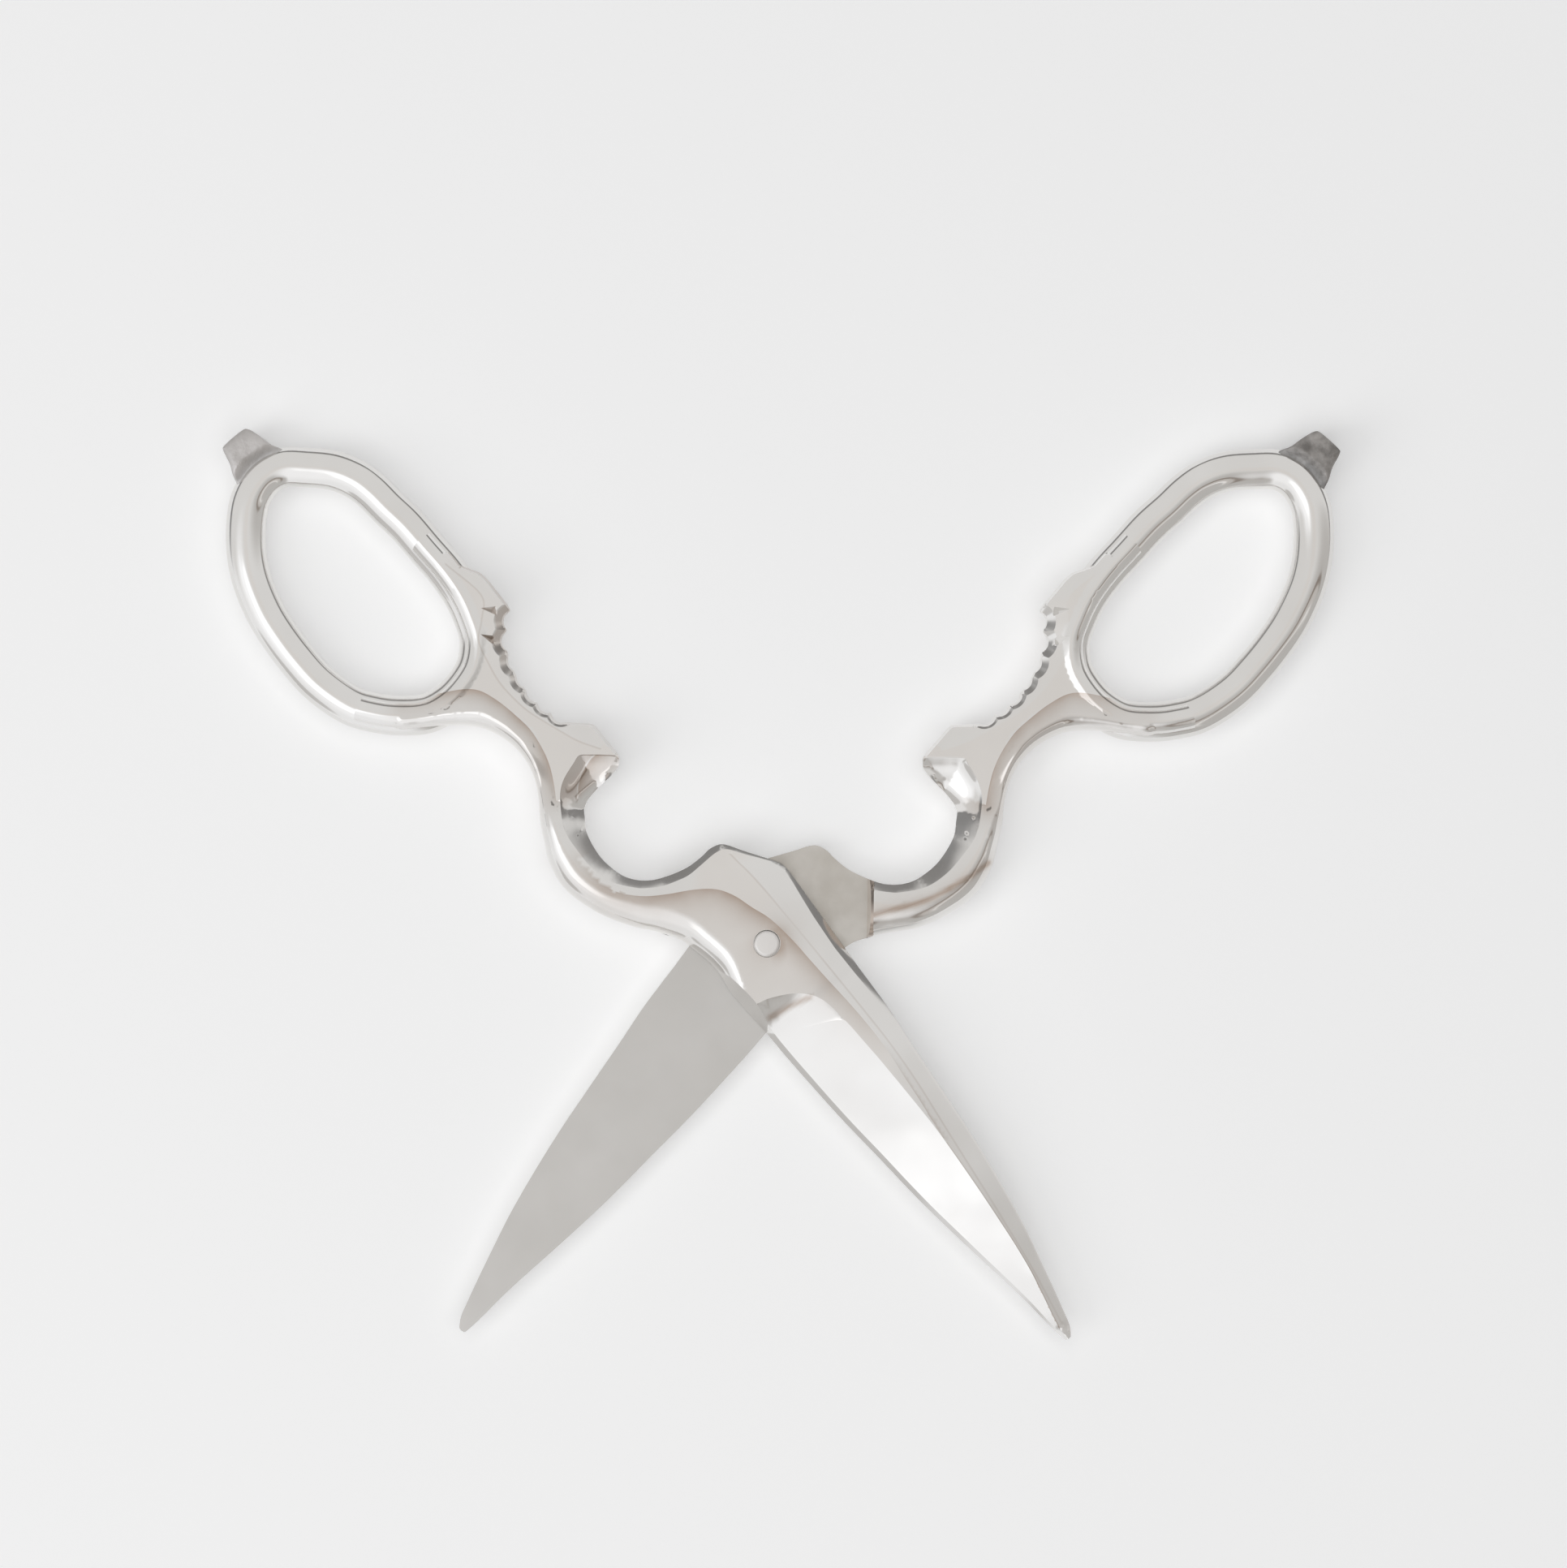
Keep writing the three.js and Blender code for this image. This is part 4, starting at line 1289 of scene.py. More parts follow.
    def forged(self, at: Array) -> Array:
        """Height of the half as forged and polished, before walls and grinding.

        Args:
            at: The points.

        Returns:
            Their heights.
        """
        raised = np.maximum(self.crown(at), self.web_top(at))
        bar = self.bar(at)
        filleted = blend_up(raised, bar, 0.22 * ease((raised - 0.2) / 1.5) + 1e-3)
        return np.where(bar > 0.4, filleted, np.maximum(raised, bar))

    @cached_property
    def arris_heights(self) -> Array:
        """Heights along the arris and, beside them, heights of the wall's foot."""
        arris = self.arris.points
        top = self.forged(arris)
        width = np.maximum(self.depth(arris), 0.05)
        slope = self.wall_slope * np.interp(-arris[:, 1], [12, 40], [1, 0.7])
        foot = np.maximum(top - slope * width, 0.3)
        return np.c_[top, np.minimum(foot, top - 0.02)]

    @cached_property
    def wall_zone(self) -> Outline:
        """The part of the plan between the arris and the inner side."""
        beyond = [(60, -95), (60, 38), (20, 38), (3, 38.5)]
        return Outline(np.vstack([self.arris.points, [(0, -95)], beyond]))

    def ground(self, at: Array) -> tuple[Array, Array]:
        """The ground surfaces of the blade.

        Args:
            at: The points.

        Returns:
            Heights, and whether each point lies on a ground surface.
        """
        x, y = at[:, 0], at[:, 1]
        top_x = self.across(self.bevel_top, y)
        facet_x = self.across(self.facet_top, y)
        edge_x = self.across(self.edge_rows, y)
        top_z = self.plate_at(top_x, y)
        foot_z = EDGE_LIP + EDGE_FACET_TILT * np.maximum(facet_x - edge_x, 0)
        share = (x - facet_x) / np.maximum(top_x - facet_x, 1e-3)
        bevel = mix(foot_z, top_z, np.clip(share, 0, 1))
        rim_y = np.interp(x, self.scoop_rim[:, 0], self.scoop_rim[:, 1])
        foot_y = np.interp(x, self.scoop_foot[:, 0], self.scoop_foot[:, 1])
        run = np.clip((rim_y - y) / np.maximum(rim_y - foot_y, 1e-3), 0, 1)
        foot_low, foot_high = self.across(self.facet_top, foot_y), self.across(self.bevel_top, foot_y)
        foot_share = np.clip((x - foot_low) / np.maximum(foot_high - foot_low, 1e-3), 0, 1)
        foot_level = mix(foot_z, self.plate_at(foot_high, foot_y), foot_share)
        rim_z = self.plate_at(x, rim_y)
        scoop = mix(rim_z, foot_level, 1 - (1 - run) ** 2)
        in_scoop = (y < rim_y) & (y >= foot_y) & (x < top_x + 1e-6)
        in_bevel = (y < foot_y) & (x < top_x)
        level = np.where(in_scoop, scoop, bevel)
        return level, (in_scoop | in_bevel) & (x > facet_x - 1e-9)

    def plate_at(self, x: Array, y: Array) -> Array:
        """Height of the plate at given x and y."""
        return self.plate(np.c_[x, y])

    def facet(self, at: Array) -> tuple[Array, Array]:
        """The steep facet along the cutting edge and its heel.

        Args:
            at: The points.

        Returns:
            Heights, and whether each point lies on the facet.
        """
        x, y = at[:, 0], at[:, 1]
        facet_x = self.across(self.facet_top, y)
        edge_x = self.across(self.edge_rows, y)
        beside = np.c_[facet_x + 1e-4, y]
        level, ground = self.ground(beside)
        head = np.where(ground, level, self.forged(beside))
        foot = np.minimum(EDGE_LIP, head)
        share = np.clip((x - edge_x) / np.maximum(facet_x - edge_x, 1e-3), 0, 1)
        return mix(foot, head, share), (x < facet_x) & (y < 2.2)

    def upper(self, at: Array) -> Array:
        """Height of the outer face.

        Args:
            at: The points.

        Returns:
            Their heights.
        """
        level = self.forged(at)
        blade = at[:, 1] < 3
        if blade.any():
            spot = at[blade]
            ground, on_ground = self.ground(spot)
            facet, on_facet = self.facet(spot)
            level[blade] = np.where(on_facet, facet, np.where(on_ground, ground, level[blade]))
        depth = np.maximum(self.depth(at), 0)
        walled = self.wall_zone.holds(at)
        if walled.any():
            spot = at[walled]
            to_arris, place = self.arris.nearest(spot)
            places = np.arange(len(self.arris.points))
            head = np.interp(place, places, self.arris_heights[:, 0])
            foot = np.interp(place, places, self.arris_heights[:, 1])
            share = depth[walled] / np.maximum(depth[walled] + to_arris, 1e-6)
            level[walled] = mix(foot, head, share * (1.05 - 0.05 * share))
            hook = np.nonzero(walled & (at[:, 1] > self.along(HOOK_FOOT)))[0]
            if len(hook):
                some = at[walled][:, 1] > self.along(HOOK_FOOT)
                level[hook] = self.hook_hollow(at[hook], to_arris[some], head[some], level[hook])
        bay = np.nonzero(self.in_bay(at))[0]
        if len(bay):
            level[bay] = np.minimum(level[bay], self.bay_wall(at[bay], depth[bay]))
        return np.clip(level, 0.06, HALF_THICKNESS)

    def in_bay(self, at: Array) -> Array:
        """Whether points lie where the web's edge may be drafted or cut by the scallops.

        Args:
            at: The points.

        Returns:
            True for each such point.
        """
        low = self.along(40.7)
        near = (at[:, 1] > low) & (at[:, 1] < self.along(86)) & (at[:, 0] > -10.5)
        return near & ~self.wall_zone.holds(at) & (self.arris.distance(at) > 0.02)

    def bay_wall(self, at: Array, depth: Array) -> Array:
        """Height of the drafted edge, the scallops and the nicks along the bay.

        Args:
            at: The points.
            depth: How deep each lies inside the plan.

        Returns:
            The heights, high where none of them cuts.
        """
        foot = WEB_THICKNESS / 2 - WEB_RIM
        draft = foot + 4.5 * depth
        face = self.web_face(at)
        for centre, width in zip(self.scallop_centres, SCALLOP_WIDTHS):
            beyond = np.maximum(np.hypot(*(at - centre).T) - self.scallop_radius, 0)
            draft = np.minimum(draft, face - SCALLOP_SLOPE * np.maximum(width - beyond, -9))
        for nick in self.nicks:
            sides = np.roll(nick, -1, axis=0) - nick
            turn = np.sign(np.cross(sides[0], sides[1]))
            share = np.full(len(at), 1.0)
            for corner, side in zip(nick, sides):
                here = turn * np.cross(side, at - corner)
                full = turn * np.cross(side, nick.mean(axis=0) - corner)
                share = np.minimum(share, here / full)
            draft = np.minimum(draft, np.where(share > 0, face - 0.75 * share, np.inf))
        return draft

    def hook_hollow(self, at: Array, to_arris: Array, head: Array, level: Array) -> Array:
        """Height of the hollowed underside of the hook.

        Args:
            at: The points.
            to_arris: Distance of each from the arris.
            head: Height of the arris beside each.
            level: Height of the plain wall at each.

        Returns:
            The heights, the plain wall's outside the hook.
        """
        hollow = np.maximum(head - 1.9 * (1 - np.exp(-to_arris / 1.8)), 0.8)
        low, high = self.along(HOOK_FOOT), self.along(40)
        return mix(level, hollow, ease((at[:, 1] - low - 1) / (high - low - 1)))

    @cached_property
    def step(self) -> tuple[Array, Array]:
        """A point of the step's line and the direction away from the pivot."""
        inner, outer = (np.array([x * JOINT_HALF_WIDTH, y * JOINT_REACH]) for x, y in STEP_SHARES)
        along = (outer - inner) / np.hypot(*(outer - inner))
        away = np.array([along[1], -along[0]])
        return inner, away if away @ inner > 0 else -away

    def past_step(self, at: Array) -> Array:
        """How far points lie past the step's foot, away from the pivot."""
        inner, away = self.step
        return (at - inner) @ away + STEP_DRAFT

    @cached_property
    def step_top(self) -> Array:
        """Line in plan along which the step's wall meets the forged shank."""
        inner, away = self.step
        along = np.array([away[1], -away[0]])
        base = inner + np.linspace(-STEP_HALF_WIDTH, STEP_HALF_WIDTH, 60)[:, None] * along
        past = np.full(len(base), STEP_DRAFT)
        steep = HALF_THICKNESS / STEP_DRAFT
        for _ in range(6):
            spot = base + away * (past - STEP_DRAFT)[:, None]
            past = (FACE_HEIGHT + self.upper(spot) - CHAMFER_SLOPE * STEP_CHAMFER) / (steep - CHAMFER_SLOPE)
        return base + away * (past - STEP_DRAFT)[:, None]

    def lower(self, at: Array) -> Array:
        """Height of the inner face: flat at the joint and blade, forged beyond the step.

        Args:
            at: The points.

        Returns:
            Their heights.
        """
        past = self.past_step(at)
        wall = FACE_HEIGHT - np.maximum(past, 0) * HALF_THICKNESS / STEP_DRAFT
        level = np.full(len(at), FACE_HEIGHT)
        beyond = past > 0
        if beyond.any():
            chamfer = CHAMFER_SLOPE * np.maximum(STEP_CHAMFER - past[beyond], 0)
            level[beyond] = np.maximum(chamfer - self.upper(at[beyond]), wall[beyond])
        return level

    @property
    def step_rails(self) -> list[Array]:
        """Lines of the step's foot and top in plan."""
        inner, away = self.step
        along = np.array([away[1], -away[0]])
        reach = np.linspace(-STEP_HALF_WIDTH, STEP_HALF_WIDTH, 40)[:, None]
        foot = inner + reach * along - away * STEP_DRAFT
        return [foot, self.step_top, foot + away * STEP_CHAMFER]

    def skin(self, pitch: float) -> Skin:
        """The half's skin, without the free part of its bow.

        Args:
            pitch: Spacing of points away from lines.

        Returns:
            The skin.
        """
        rails = [
            self.arris.points, self.ridge[10:], self.web_crease.points, self.bevel_top, self.scoop_rim[3:],
            self.scoop_foot[3:], self.facet_top, *self.step_rails, *self.scallop_lines, *self.nick_lines,
            *[beside(self.crease.points, shift) for shift in (-0.25, 0, 0.25)],
            *[beside(self.bay_crease.points, shift) for shift in (-0.25, 0, 0.25)],
            beside(self.bevel_top, 0.25), self.hook_lip,
            *[beside(self.hook_lip, shift) for shift in (-0.22, 0.22)],
        ]
        return Skin(
            f"{self.name}_forging", self.depth, self.upper, self.lower, rails, self.box, pitch, self.holes,
        )

    def laid(self, points: Array, normals: Array) -> tuple[Array, Array]:
        """Turns points and normals from the closed drawing to the model's frame, in metres.

        Args:
            points: The points.
            normals: The normals.

        Returns:
            The turned points and normals.
        """
        if self.side is Side.INNER_UP:
            points = points * [-1, 1, -1]
            normals = normals * [-1, 1, -1]
        turn = math.radians(self.opening)
        cos, sin = math.cos(turn), math.sin(turn)
        spin = np.array([[cos, -sin, 0], [sin, cos, 0], [0, 0, 1]])
        return (points @ spin.T + [0, 0, HALF_THICKNESS]) * MM, normals @ spin.T

    def painted_shade_and_stain(self, at: Array) -> Array:
        """How much painted shade darkens the outer side, from 0 to 1, with a warm brown tint round the rivet.

        Args:
            at: The points.

        Returns:
            The painted shade and tint at each.
        """
        x, y = at[:, 0], at[:, 1]
        plate_side = ~self.beyond_ridge.holds(at)
        to_ridge = self.ridge_line.distance(at)
        # Painted warm shade on the plate beside the ridge, fading over a few millimetres, and on the ridge
        # line itself.
        along = np.interp(y, [-28, -14, 0, 10, 24, 34], [0, 0.6, 1.1, 1, 0.8, 0])
        ridge = along * np.where(plate_side, np.exp(-to_ridge / 2.4), np.exp(-to_ridge / 0.005))
        radius = np.hypot(x, y)
        towards = np.clip((x - 0.5 * y) / np.maximum(radius, 1e-3), 0, 1)
        rivet = (0.35 + 0.85 * towards) * np.exp(-np.maximum(radius - 2.3, 0) / 1.7)
        # Painted warm shade in the crease between the stem's bar and the web, fading up the bar.
        to_crease = self.web_crease.distance(at)
        fade = np.where(self.past_web_crease.holds(at), 0.005, 1.5)
        crease = 0.95 * np.exp(-to_crease / fade)
        crease *= np.interp(y, [38, 46, 66, 72], [0.2, 1, 1, 0.2])
        # Painted dark lines along the bay's crease and the blade's crease.
        fine = np.minimum(self.bay_crease.distance(at), self.crease.distance(at))
        lines = 0.3 * np.clip(1 - fine / 0.25, 0, 1)
        # Painted dark line along the ridge on the blade, with a soft fringe on the spine's side.
        blade = np.interp(y, [-82, -60, -34, -24], [1, 0.85, 0.55, 0])
        line = np.clip(1 - to_ridge / 0.25, 0, 1)
        strip = blade * (0.2 * np.exp(-to_ridge / 0.8) + 0.6 * line)
        strip = np.where(plate_side & (to_ridge > 0.01), 0, strip)
        # Painted shade in the hook's hollowed underside, darkest just past the lip and stopping short of the
        # lip, which stays bright.
        foot = self.along(38)
        under_hook = self.wall_zone.holds(at) & (y > foot)
        to_lip = Line(self.hook_lip).distance(at)
        past_lip = Outline(np.vstack([self.hook_lip, [(-10.4, 37), (3, 36), (3, 43.5)]]))
        hollow = np.where(past_lip.holds(at), 0.3 + 0.7 * np.exp(-to_lip / 1.6), 0.5)
        hollow *= ease((to_lip + 0.08) / 0.3)
        hollow *= under_hook * ease((y - foot) / 2)
        # Painted brown shade across the plunge's scoop.
        streak = 0.9 * np.exp(-((Line(np.array(SCOOP_STREAK)).distance(at) / 0.55) ** 2))
        # Painted shade on the cut walls of the scallops and the nicks, strongest at the first scallops.
        lower = self.bay_wall(at, self.depth(at)) < self.web_face(at) - 0.03
        cut = np.where(self.in_bay(at) & lower, 0.55, 0)
        cut *= np.interp(y, [48, 62, 68], [0.3, 0.45, 1])
        return np.clip(np.maximum.reduce([ridge, rivet, crease, lines, strip, streak, cut, hollow]), 0, 1)

    def corner_painted_shade_and_stain(self, points: Array, faces: Array, kinds: Array) -> Array:
        """Painted shade and tint at each triangle corner, taken a little inside its triangle.

        Args:
            points: Points of the skin.
            faces: Its triangles.
            kinds: 0 for each on the upper side, 1 on the lower.

        Returns:
            Three values for each triangle.
        """
        upper = np.nonzero(kinds == 0)[0]
        middle = points[faces].mean(axis=1)
        value = np.zeros((len(faces), 3))
        plan = points[:, :2]
        used = np.unique(faces[upper])
        at_points = np.zeros(len(points))
        at_points[used] = self.painted_shade_and_stain(plan[used])
        value[upper] = at_points[faces[upper]]
        sides = [self.ridge_line, self.web_crease, self.arris]
        sides += [Line(line) for line in (self.hook_lip, *self.scallop_lines)]
        on_edge = np.zeros(len(points), bool)
        on_edge[used] = np.minimum.reduce([line.distance(plan[used]) for line in sides]) < 0.02
        face, corner = np.nonzero(on_edge[faces] & (kinds == 0)[:, None])
        if len(face):
            spot = plan[faces[face, corner]]
            value[face, corner] = self.painted_shade_and_stain(spot + 0.12 * (middle[face, :2] - spot))
        inner = np.nonzero(kinds == 1)[0]
        spot = plan[faces[inner]]
        spot = (spot + 0.12 * (middle[inner, None, :2] - spot)).reshape(-1, 2)
        past = self.past_step(spot)
        # Painted dark reflection streak along the inner side of the shank, past the step.
        to_streak = Line(smooth_line(SHANK_STREAK, 4)).distance(spot)
        streak = 0.9 * np.exp(-((to_streak / 0.45) ** 2)) + 0.35 * np.exp(-to_streak / 1.6)
        streak = np.where(past > 0, streak, 0)
        # Painted shade on the step's wall and its chamfer.
        wall = np.where((past > -0.01) & (past < STEP_CHAMFER + 0.01), 0.95, 0)
        # Painted warm shade along the crease between the stem's bar and the web, on the bar's side.
        to_crease = self.web_crease.distance(spot)
        bar = np.where(self.past_web_crease.holds(spot) | (past <= 0), 0, 0.85 * np.exp(-to_crease / 2.2))
        bar *= np.interp(spot[:, 1], [30, 40, 66, 72], [0.5, 1, 1, 0.2])
        value[inner] = np.clip(np.maximum.reduce([streak, wall, bar]), 0, 1).reshape(-1, 3)
        return value

    def build(self, pitch: float) -> list[bpy.types.Object]:
        """Makes the half's pieces, dresses them and ties them to its body.

        Args:
            pitch: Spacing of points on the forging's skin.

        Returns:
            The pieces.
        """
        points, faces, normals, kinds = self.skin(pitch).build()
        middle = points[faces].mean(axis=1)
        ground = (kinds == 1) & (self.past_step(middle[:, :2]) < 0)
        joint = ground & (middle[:, 1] > 0)
        slots = np.where(ground, Region.GROUND.value, Region.POLISHED.value)
        slots = np.where(joint, Region.JOINT.value, slots)
        laid, facing = self.laid(points, normals.reshape(-1, 3))
        forging = skin_object(
            f"{self.name}_forging", laid, faces, facing, slots, self.corner_painted_shade_and_stain(points, faces, kinds)
        )
        for finish in (POLISHED_STEEL, GROUND_STEEL, JOINT_STEEL):
            forging.data.materials.append(finish.material())
        bow = BowBar(f"{self.name}_bow", self).build(POLISHED_STEEL)
        rough = FORGED_STEEL if self.side is Side.OUTER_UP else DARK_FORGED_STEEL
        tab = ForgedTab(f"{self.name}_tab", self, rough).build()
        pieces = [forging, bow, tab]
        for piece in pieces:
            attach(piece, self.body)
        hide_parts(self.node)
        return pieces


def skin_object(
    name: str, points: Array, faces: Array, normals: Array, slots: Array, painted_shade_and_stain: Array
) -> bpy.types.Object:
    """Makes a mesh object with its own corner normals.

    Args:
        name: Name of the object.
        points: Points in metres; points at one place are made one.
        faces: Triangles.
        normals: One normal for each triangle corner.
        slots: Material place of each triangle.
        painted_shade_and_stain: How much painted shade and stain each triangle corner has.

    Returns:
        The object, at the origin.
    """
    keys = np.round(points / (1e-4 * MM)).astype(np.int64)
    _, first, back = np.unique(keys, axis=0, return_index=True, return_inverse=True)
    points = points[first]
    faces = back.reshape(-1)[faces]
    whole = (faces[:, 0] != faces[:, 1]) & (faces[:, 1] != faces[:, 2]) & (faces[:, 2] != faces[:, 0])
    normals = normals.reshape(-1, 3, 3)[whole].reshape(-1, 3)
    painted_shade_and_stain = painted_shade_and_stain.reshape(-1, 3)[whole]
    faces, slots = faces[whole], slots[whole]
    mesh = bpy.data.meshes.new(name)
    mesh.from_pydata(points.tolist(), [], faces.tolist())
    mesh.polygons.foreach_set("material_index", slots.astype(np.int32))
    mesh.polygons.foreach_set("use_smooth", np.ones(len(faces), bool))
    mesh.update()
    mesh.normals_split_custom_set(normals.tolist())
    shade_and_stain_tint = mesh.attributes.new("painted_shade_and_stain", "FLOAT", "CORNER")
    shade_and_stain_tint.data.foreach_set("value", painted_shade_and_stain.ravel().astype(np.float32))
    return placed(name, mesh)


@dataclass
class ForgedTab:
    """The rough forged tab at the far end of a bow.

    Attributes:
        name: Name of the piece.
        half: The half that the tab is on.
        finish: The tab's rough finish.
    """

    name: str
    half: ForgedHalf
    finish: "SteelFinish"

    @cached_property
    def outline(self) -> Outline:
        """Outline of the tab."""
        return Outline(smooth_line([self.half.handle_point(s) for s in TAB_SHARES], 4, True))

    def depth(self, at: Array) -> Array:
        """How deep points lie inside the tab's plan, which ends inside the bar."""
        return np.minimum(self.outline.depth(at) - 0.1, self.half.bow.distance(at) - 0.8)

    def upper(self, at: Array) -> Array:
        """Height of the tab's faces above the middle plane.

        Args:
            at: The points.

        Returns:
            Their heights.
        """
        inside = np.maximum(self.outline.depth(at), 0)
        rim = TAB_THICKNESS / 2 - TAB_DRAFT
        plate = rim + TAB_DRAFT * crown_of(1 - np.clip(inside / (1.6 * TAB_DRAFT), 0, 1))
        off_bar = self.half.bow.distance(at) - BOW_BAR_WIDTH / 2
        return (plate - 0.07) * mix(0.62, 1, ease(off_bar / 1.9))

    def lower(self, at: Array) -> Array:
        """Height of the tab's lower side."""
        return -self.upper(at)

    def build(self) -> bpy.types.Object:
        """Makes the tab and dresses it.

        Returns:
            The tab.
        """
        plan = self.outline.points
        box = np.concatenate([plan.min(axis=0) - 6, plan.max(axis=0) + 6])
        skin = Skin(self.name, self.depth, self.upper, self.lower, [], box, 0.4, rings=(0.15, 0.4, 0.8))
        points, faces, normals, _ = skin.build()
        laid, facing = self.half.laid(points, normals.reshape(-1, 3))
        near_bar = 1 - ease((self.half.bow.distance(points[:, :2]) - BOW_BAR_WIDTH / 2) / 1.6)
        tab = skin_object(self.name, laid, faces, facing, np.zeros(len(faces), int), near_bar[faces])
        tab.data.materials.append(self.finish.material())
        return tab


def placed(name: str, data: bpy.types.ID) -> bpy.types.Object:
    """Puts a new object with this data in the scene.

    Args:
        name: Name of the object.
        data: The mesh, lamp or camera.

    Returns:
        The object.
    """
    thing = bpy.data.objects.new(name, data)
    bpy.context.scene.collection.objects.link(thing)
    return thing


class NodeSheet:
    """A sheet of nodes under construction.

    Attributes:
        nodes: The sheet's nodes.
        links: The links between them.
    """

    def __init__(self, tree: bpy.types.NodeTree) -> None:
        """Keeps the nodes and links of a tree."""
        self.nodes = tree.nodes
        self.links = tree.links

    def node(self, kind: str, links: dict[str, object], **settings: object) -> bpy.types.Node:
        """Adds a node.

        Args:
            kind: The node's type.
            links: For each of its inputs, a socket to link, a node whose first output
                is linked, or a value to set.
            settings: Properties of the node.

        Returns:
            The node.
        """
        made = self.nodes.new(kind)
        for key, value in settings.items():
            setattr(made, key, value)
        for key, value in links.items():
            self.feed(made.inputs[int(key)] if key.isdigit() else made.inputs[key], value)
        return made

    def feed(self, socket: Socket, value: object) -> None:
        """Links a socket or a node's first output to an input, or sets the input's value.

        Args:
            socket: The input.
            value: What it gets.
        """
        if isinstance(value, bpy.types.Node):
            value = value.outputs[0]
        if isinstance(value, Socket):
            self.links.new(value, socket)
        else:
            socket.default_value = value


class Tree(NodeSheet):
    """A geometry node tree under construction.

    Attributes:
        group: The tree.
    """

    def __init__(self, name: str, inputs: Sequence[tuple[str, str, float]]) -> None:
        """Starts a tree with a shape input, named sizes and a finish.

        Args:
            name: Name of the tree.
            inputs: Name, socket type and first value of each size.
        """
        self.group = bpy.data.node_groups.new(name, "GeometryNodeTree")
        super().__init__(self.group)
        face = self.group.interface
        face.new_socket("Shape", in_out="INPUT", socket_type="NodeSocketGeometry")
        for label, kind, value in inputs:
            face.new_socket(label, in_out="INPUT", socket_type=kind).default_value = value
        face.new_socket("Finish", in_out="INPUT", socket_type="NodeSocketMaterial")
        face.new_socket("Shape", in_out="OUTPUT", socket_type="NodeSocketGeometry")
        self.size = self.nodes.new("NodeGroupInput").outputs
        self.sink = self.nodes.new("NodeGroupOutput")

    def close(self, shape: bpy.types.Node) -> None:
        """Ends the tree with real geometry in its finish.

        Args:
            shape: Node whose first output is the shape.
        """
        real = self.node("GeometryNodeRealizeInstances", {"Geometry": shape})
        dressed = self.node("GeometryNodeSetMaterial", {"Geometry": real, "Material": self.size["Finish"]})
        self.feed(self.sink.inputs["Shape"], dressed)

    def grown(self, name: str, seed: bpy.types.Mesh, values: dict[str, object]) -> bpy.types.Object:
        """Runs the tree on a mesh and keeps the result as a plain mesh.

        Args:
            name: Name of the finished piece.
            seed: The mesh that goes in.
            values: Values for the tree's named inputs.

        Returns:
            The finished piece.
        """
        holder = placed(f"{name}_seed", seed)
        modifier = holder.modifiers.new("grow", "NODES")
        modifier.node_group = self.group
        for item in self.group.interface.items_tree:
            if item.item_type == "SOCKET" and item.in_out == "INPUT" and item.name in values:
                modifier[item.identifier] = values[item.name]
        bpy.context.view_layer.update()
        made = holder.evaluated_get(bpy.context.evaluated_depsgraph_get())
        mesh = bpy.data.meshes.new_from_object(made)
        mesh.name = name
        outward(mesh)
        holder.modifiers.remove(modifier)
        bpy.data.objects.remove(holder)
        return placed(name, mesh)


def outward(mesh: bpy.types.Mesh) -> None:
    """Closes a mesh's seams and poles and points its faces outwards.

    Args:
        mesh: The mesh, changed in place.
    """
    work = bmesh.new()
    work.from_mesh(mesh)
    bmesh.ops.remove_doubles(work, verts=work.verts, dist=0.002 * MM)
    bmesh.ops.recalc_face_normals(work, faces=work.faces)
    work.to_mesh(mesh)
    work.free()


def path_mesh(name: str, points: Array, closed: bool) -> bpy.types.Mesh:
    """A mesh of one line of edges.

    Args:
        name: Name of the mesh.
        points: Points of the line.
        closed: Whether its ends are joined.

    Returns:
        The mesh.
    """
    mesh = bpy.data.meshes.new(name)
    mesh.from_pydata(points.tolist(), chain(len(points), closed), [])
    return mesh


@dataclass
class BowBar:
    """The bar of a bow, swept along its middle line.

    Attributes:
        name: Name of the piece.
        half: The half that the bow is on.
        sides: How many sides the bar's section has.
    """

    name: str
    half: ForgedHalf
    sides: int = 72

    def tree(self) -> Tree:
        """Makes the tree that sweeps an oval section along the line that goes in.

        Returns:
            The tree.
        """
        across = [("Width", "NodeSocketFloat", 0.005), ("Thickness", "NodeSocketFloat", 0.007)]
        tree = Tree("bow_bar", [*across, ("Sides", "NodeSocketInt", 40)])
        size = tree.size
        line = tree.node("GeometryNodeMeshToCurve", {"Mesh": size["Shape"]})
        upright = tree.node("GeometryNodeSetCurveNormal", {"Curve": line}, mode="Z_UP")
        disc = tree.node("GeometryNodeCurvePrimitiveCircle", {"Resolution": size["Sides"], "Radius": 0.5})
        scale = tree.node("ShaderNodeCombineXYZ", {"X": size["Thickness"], "Y": size["Width"], "Z": 1.0})
        oval = tree.node("GeometryNodeTransform", {"Geometry": disc, "Scale": scale})
        bar = tree.node("GeometryNodeCurveToMesh", {"Curve": upright, "Profile Curve": oval})
        tree.close(tree.node("GeometryNodeSetShadeSmooth", {"Geometry": bar}))
        return tree

    def build(self, finish: "SteelFinish") -> bpy.types.Object:
        """Sweeps the bar and dresses it.

        Args:
            finish: Finish of the steel.

        Returns:
            The bar.
        """
        line = even_line(self.half.bow.points, 0.6, True)
        flat = np.c_[line, np.zeros(len(line))]
        laid, _ = self.half.laid(flat, flat)
        sizes = {"Width": BOW_BAR_WIDTH * MM, "Thickness": BOW_THICKNESS * MM, "Sides": self.sides}
        path = path_mesh(f"{self.name}_line", laid, True)
        return self.tree().grown(self.name, path, {**sizes, "Finish": finish.material()})


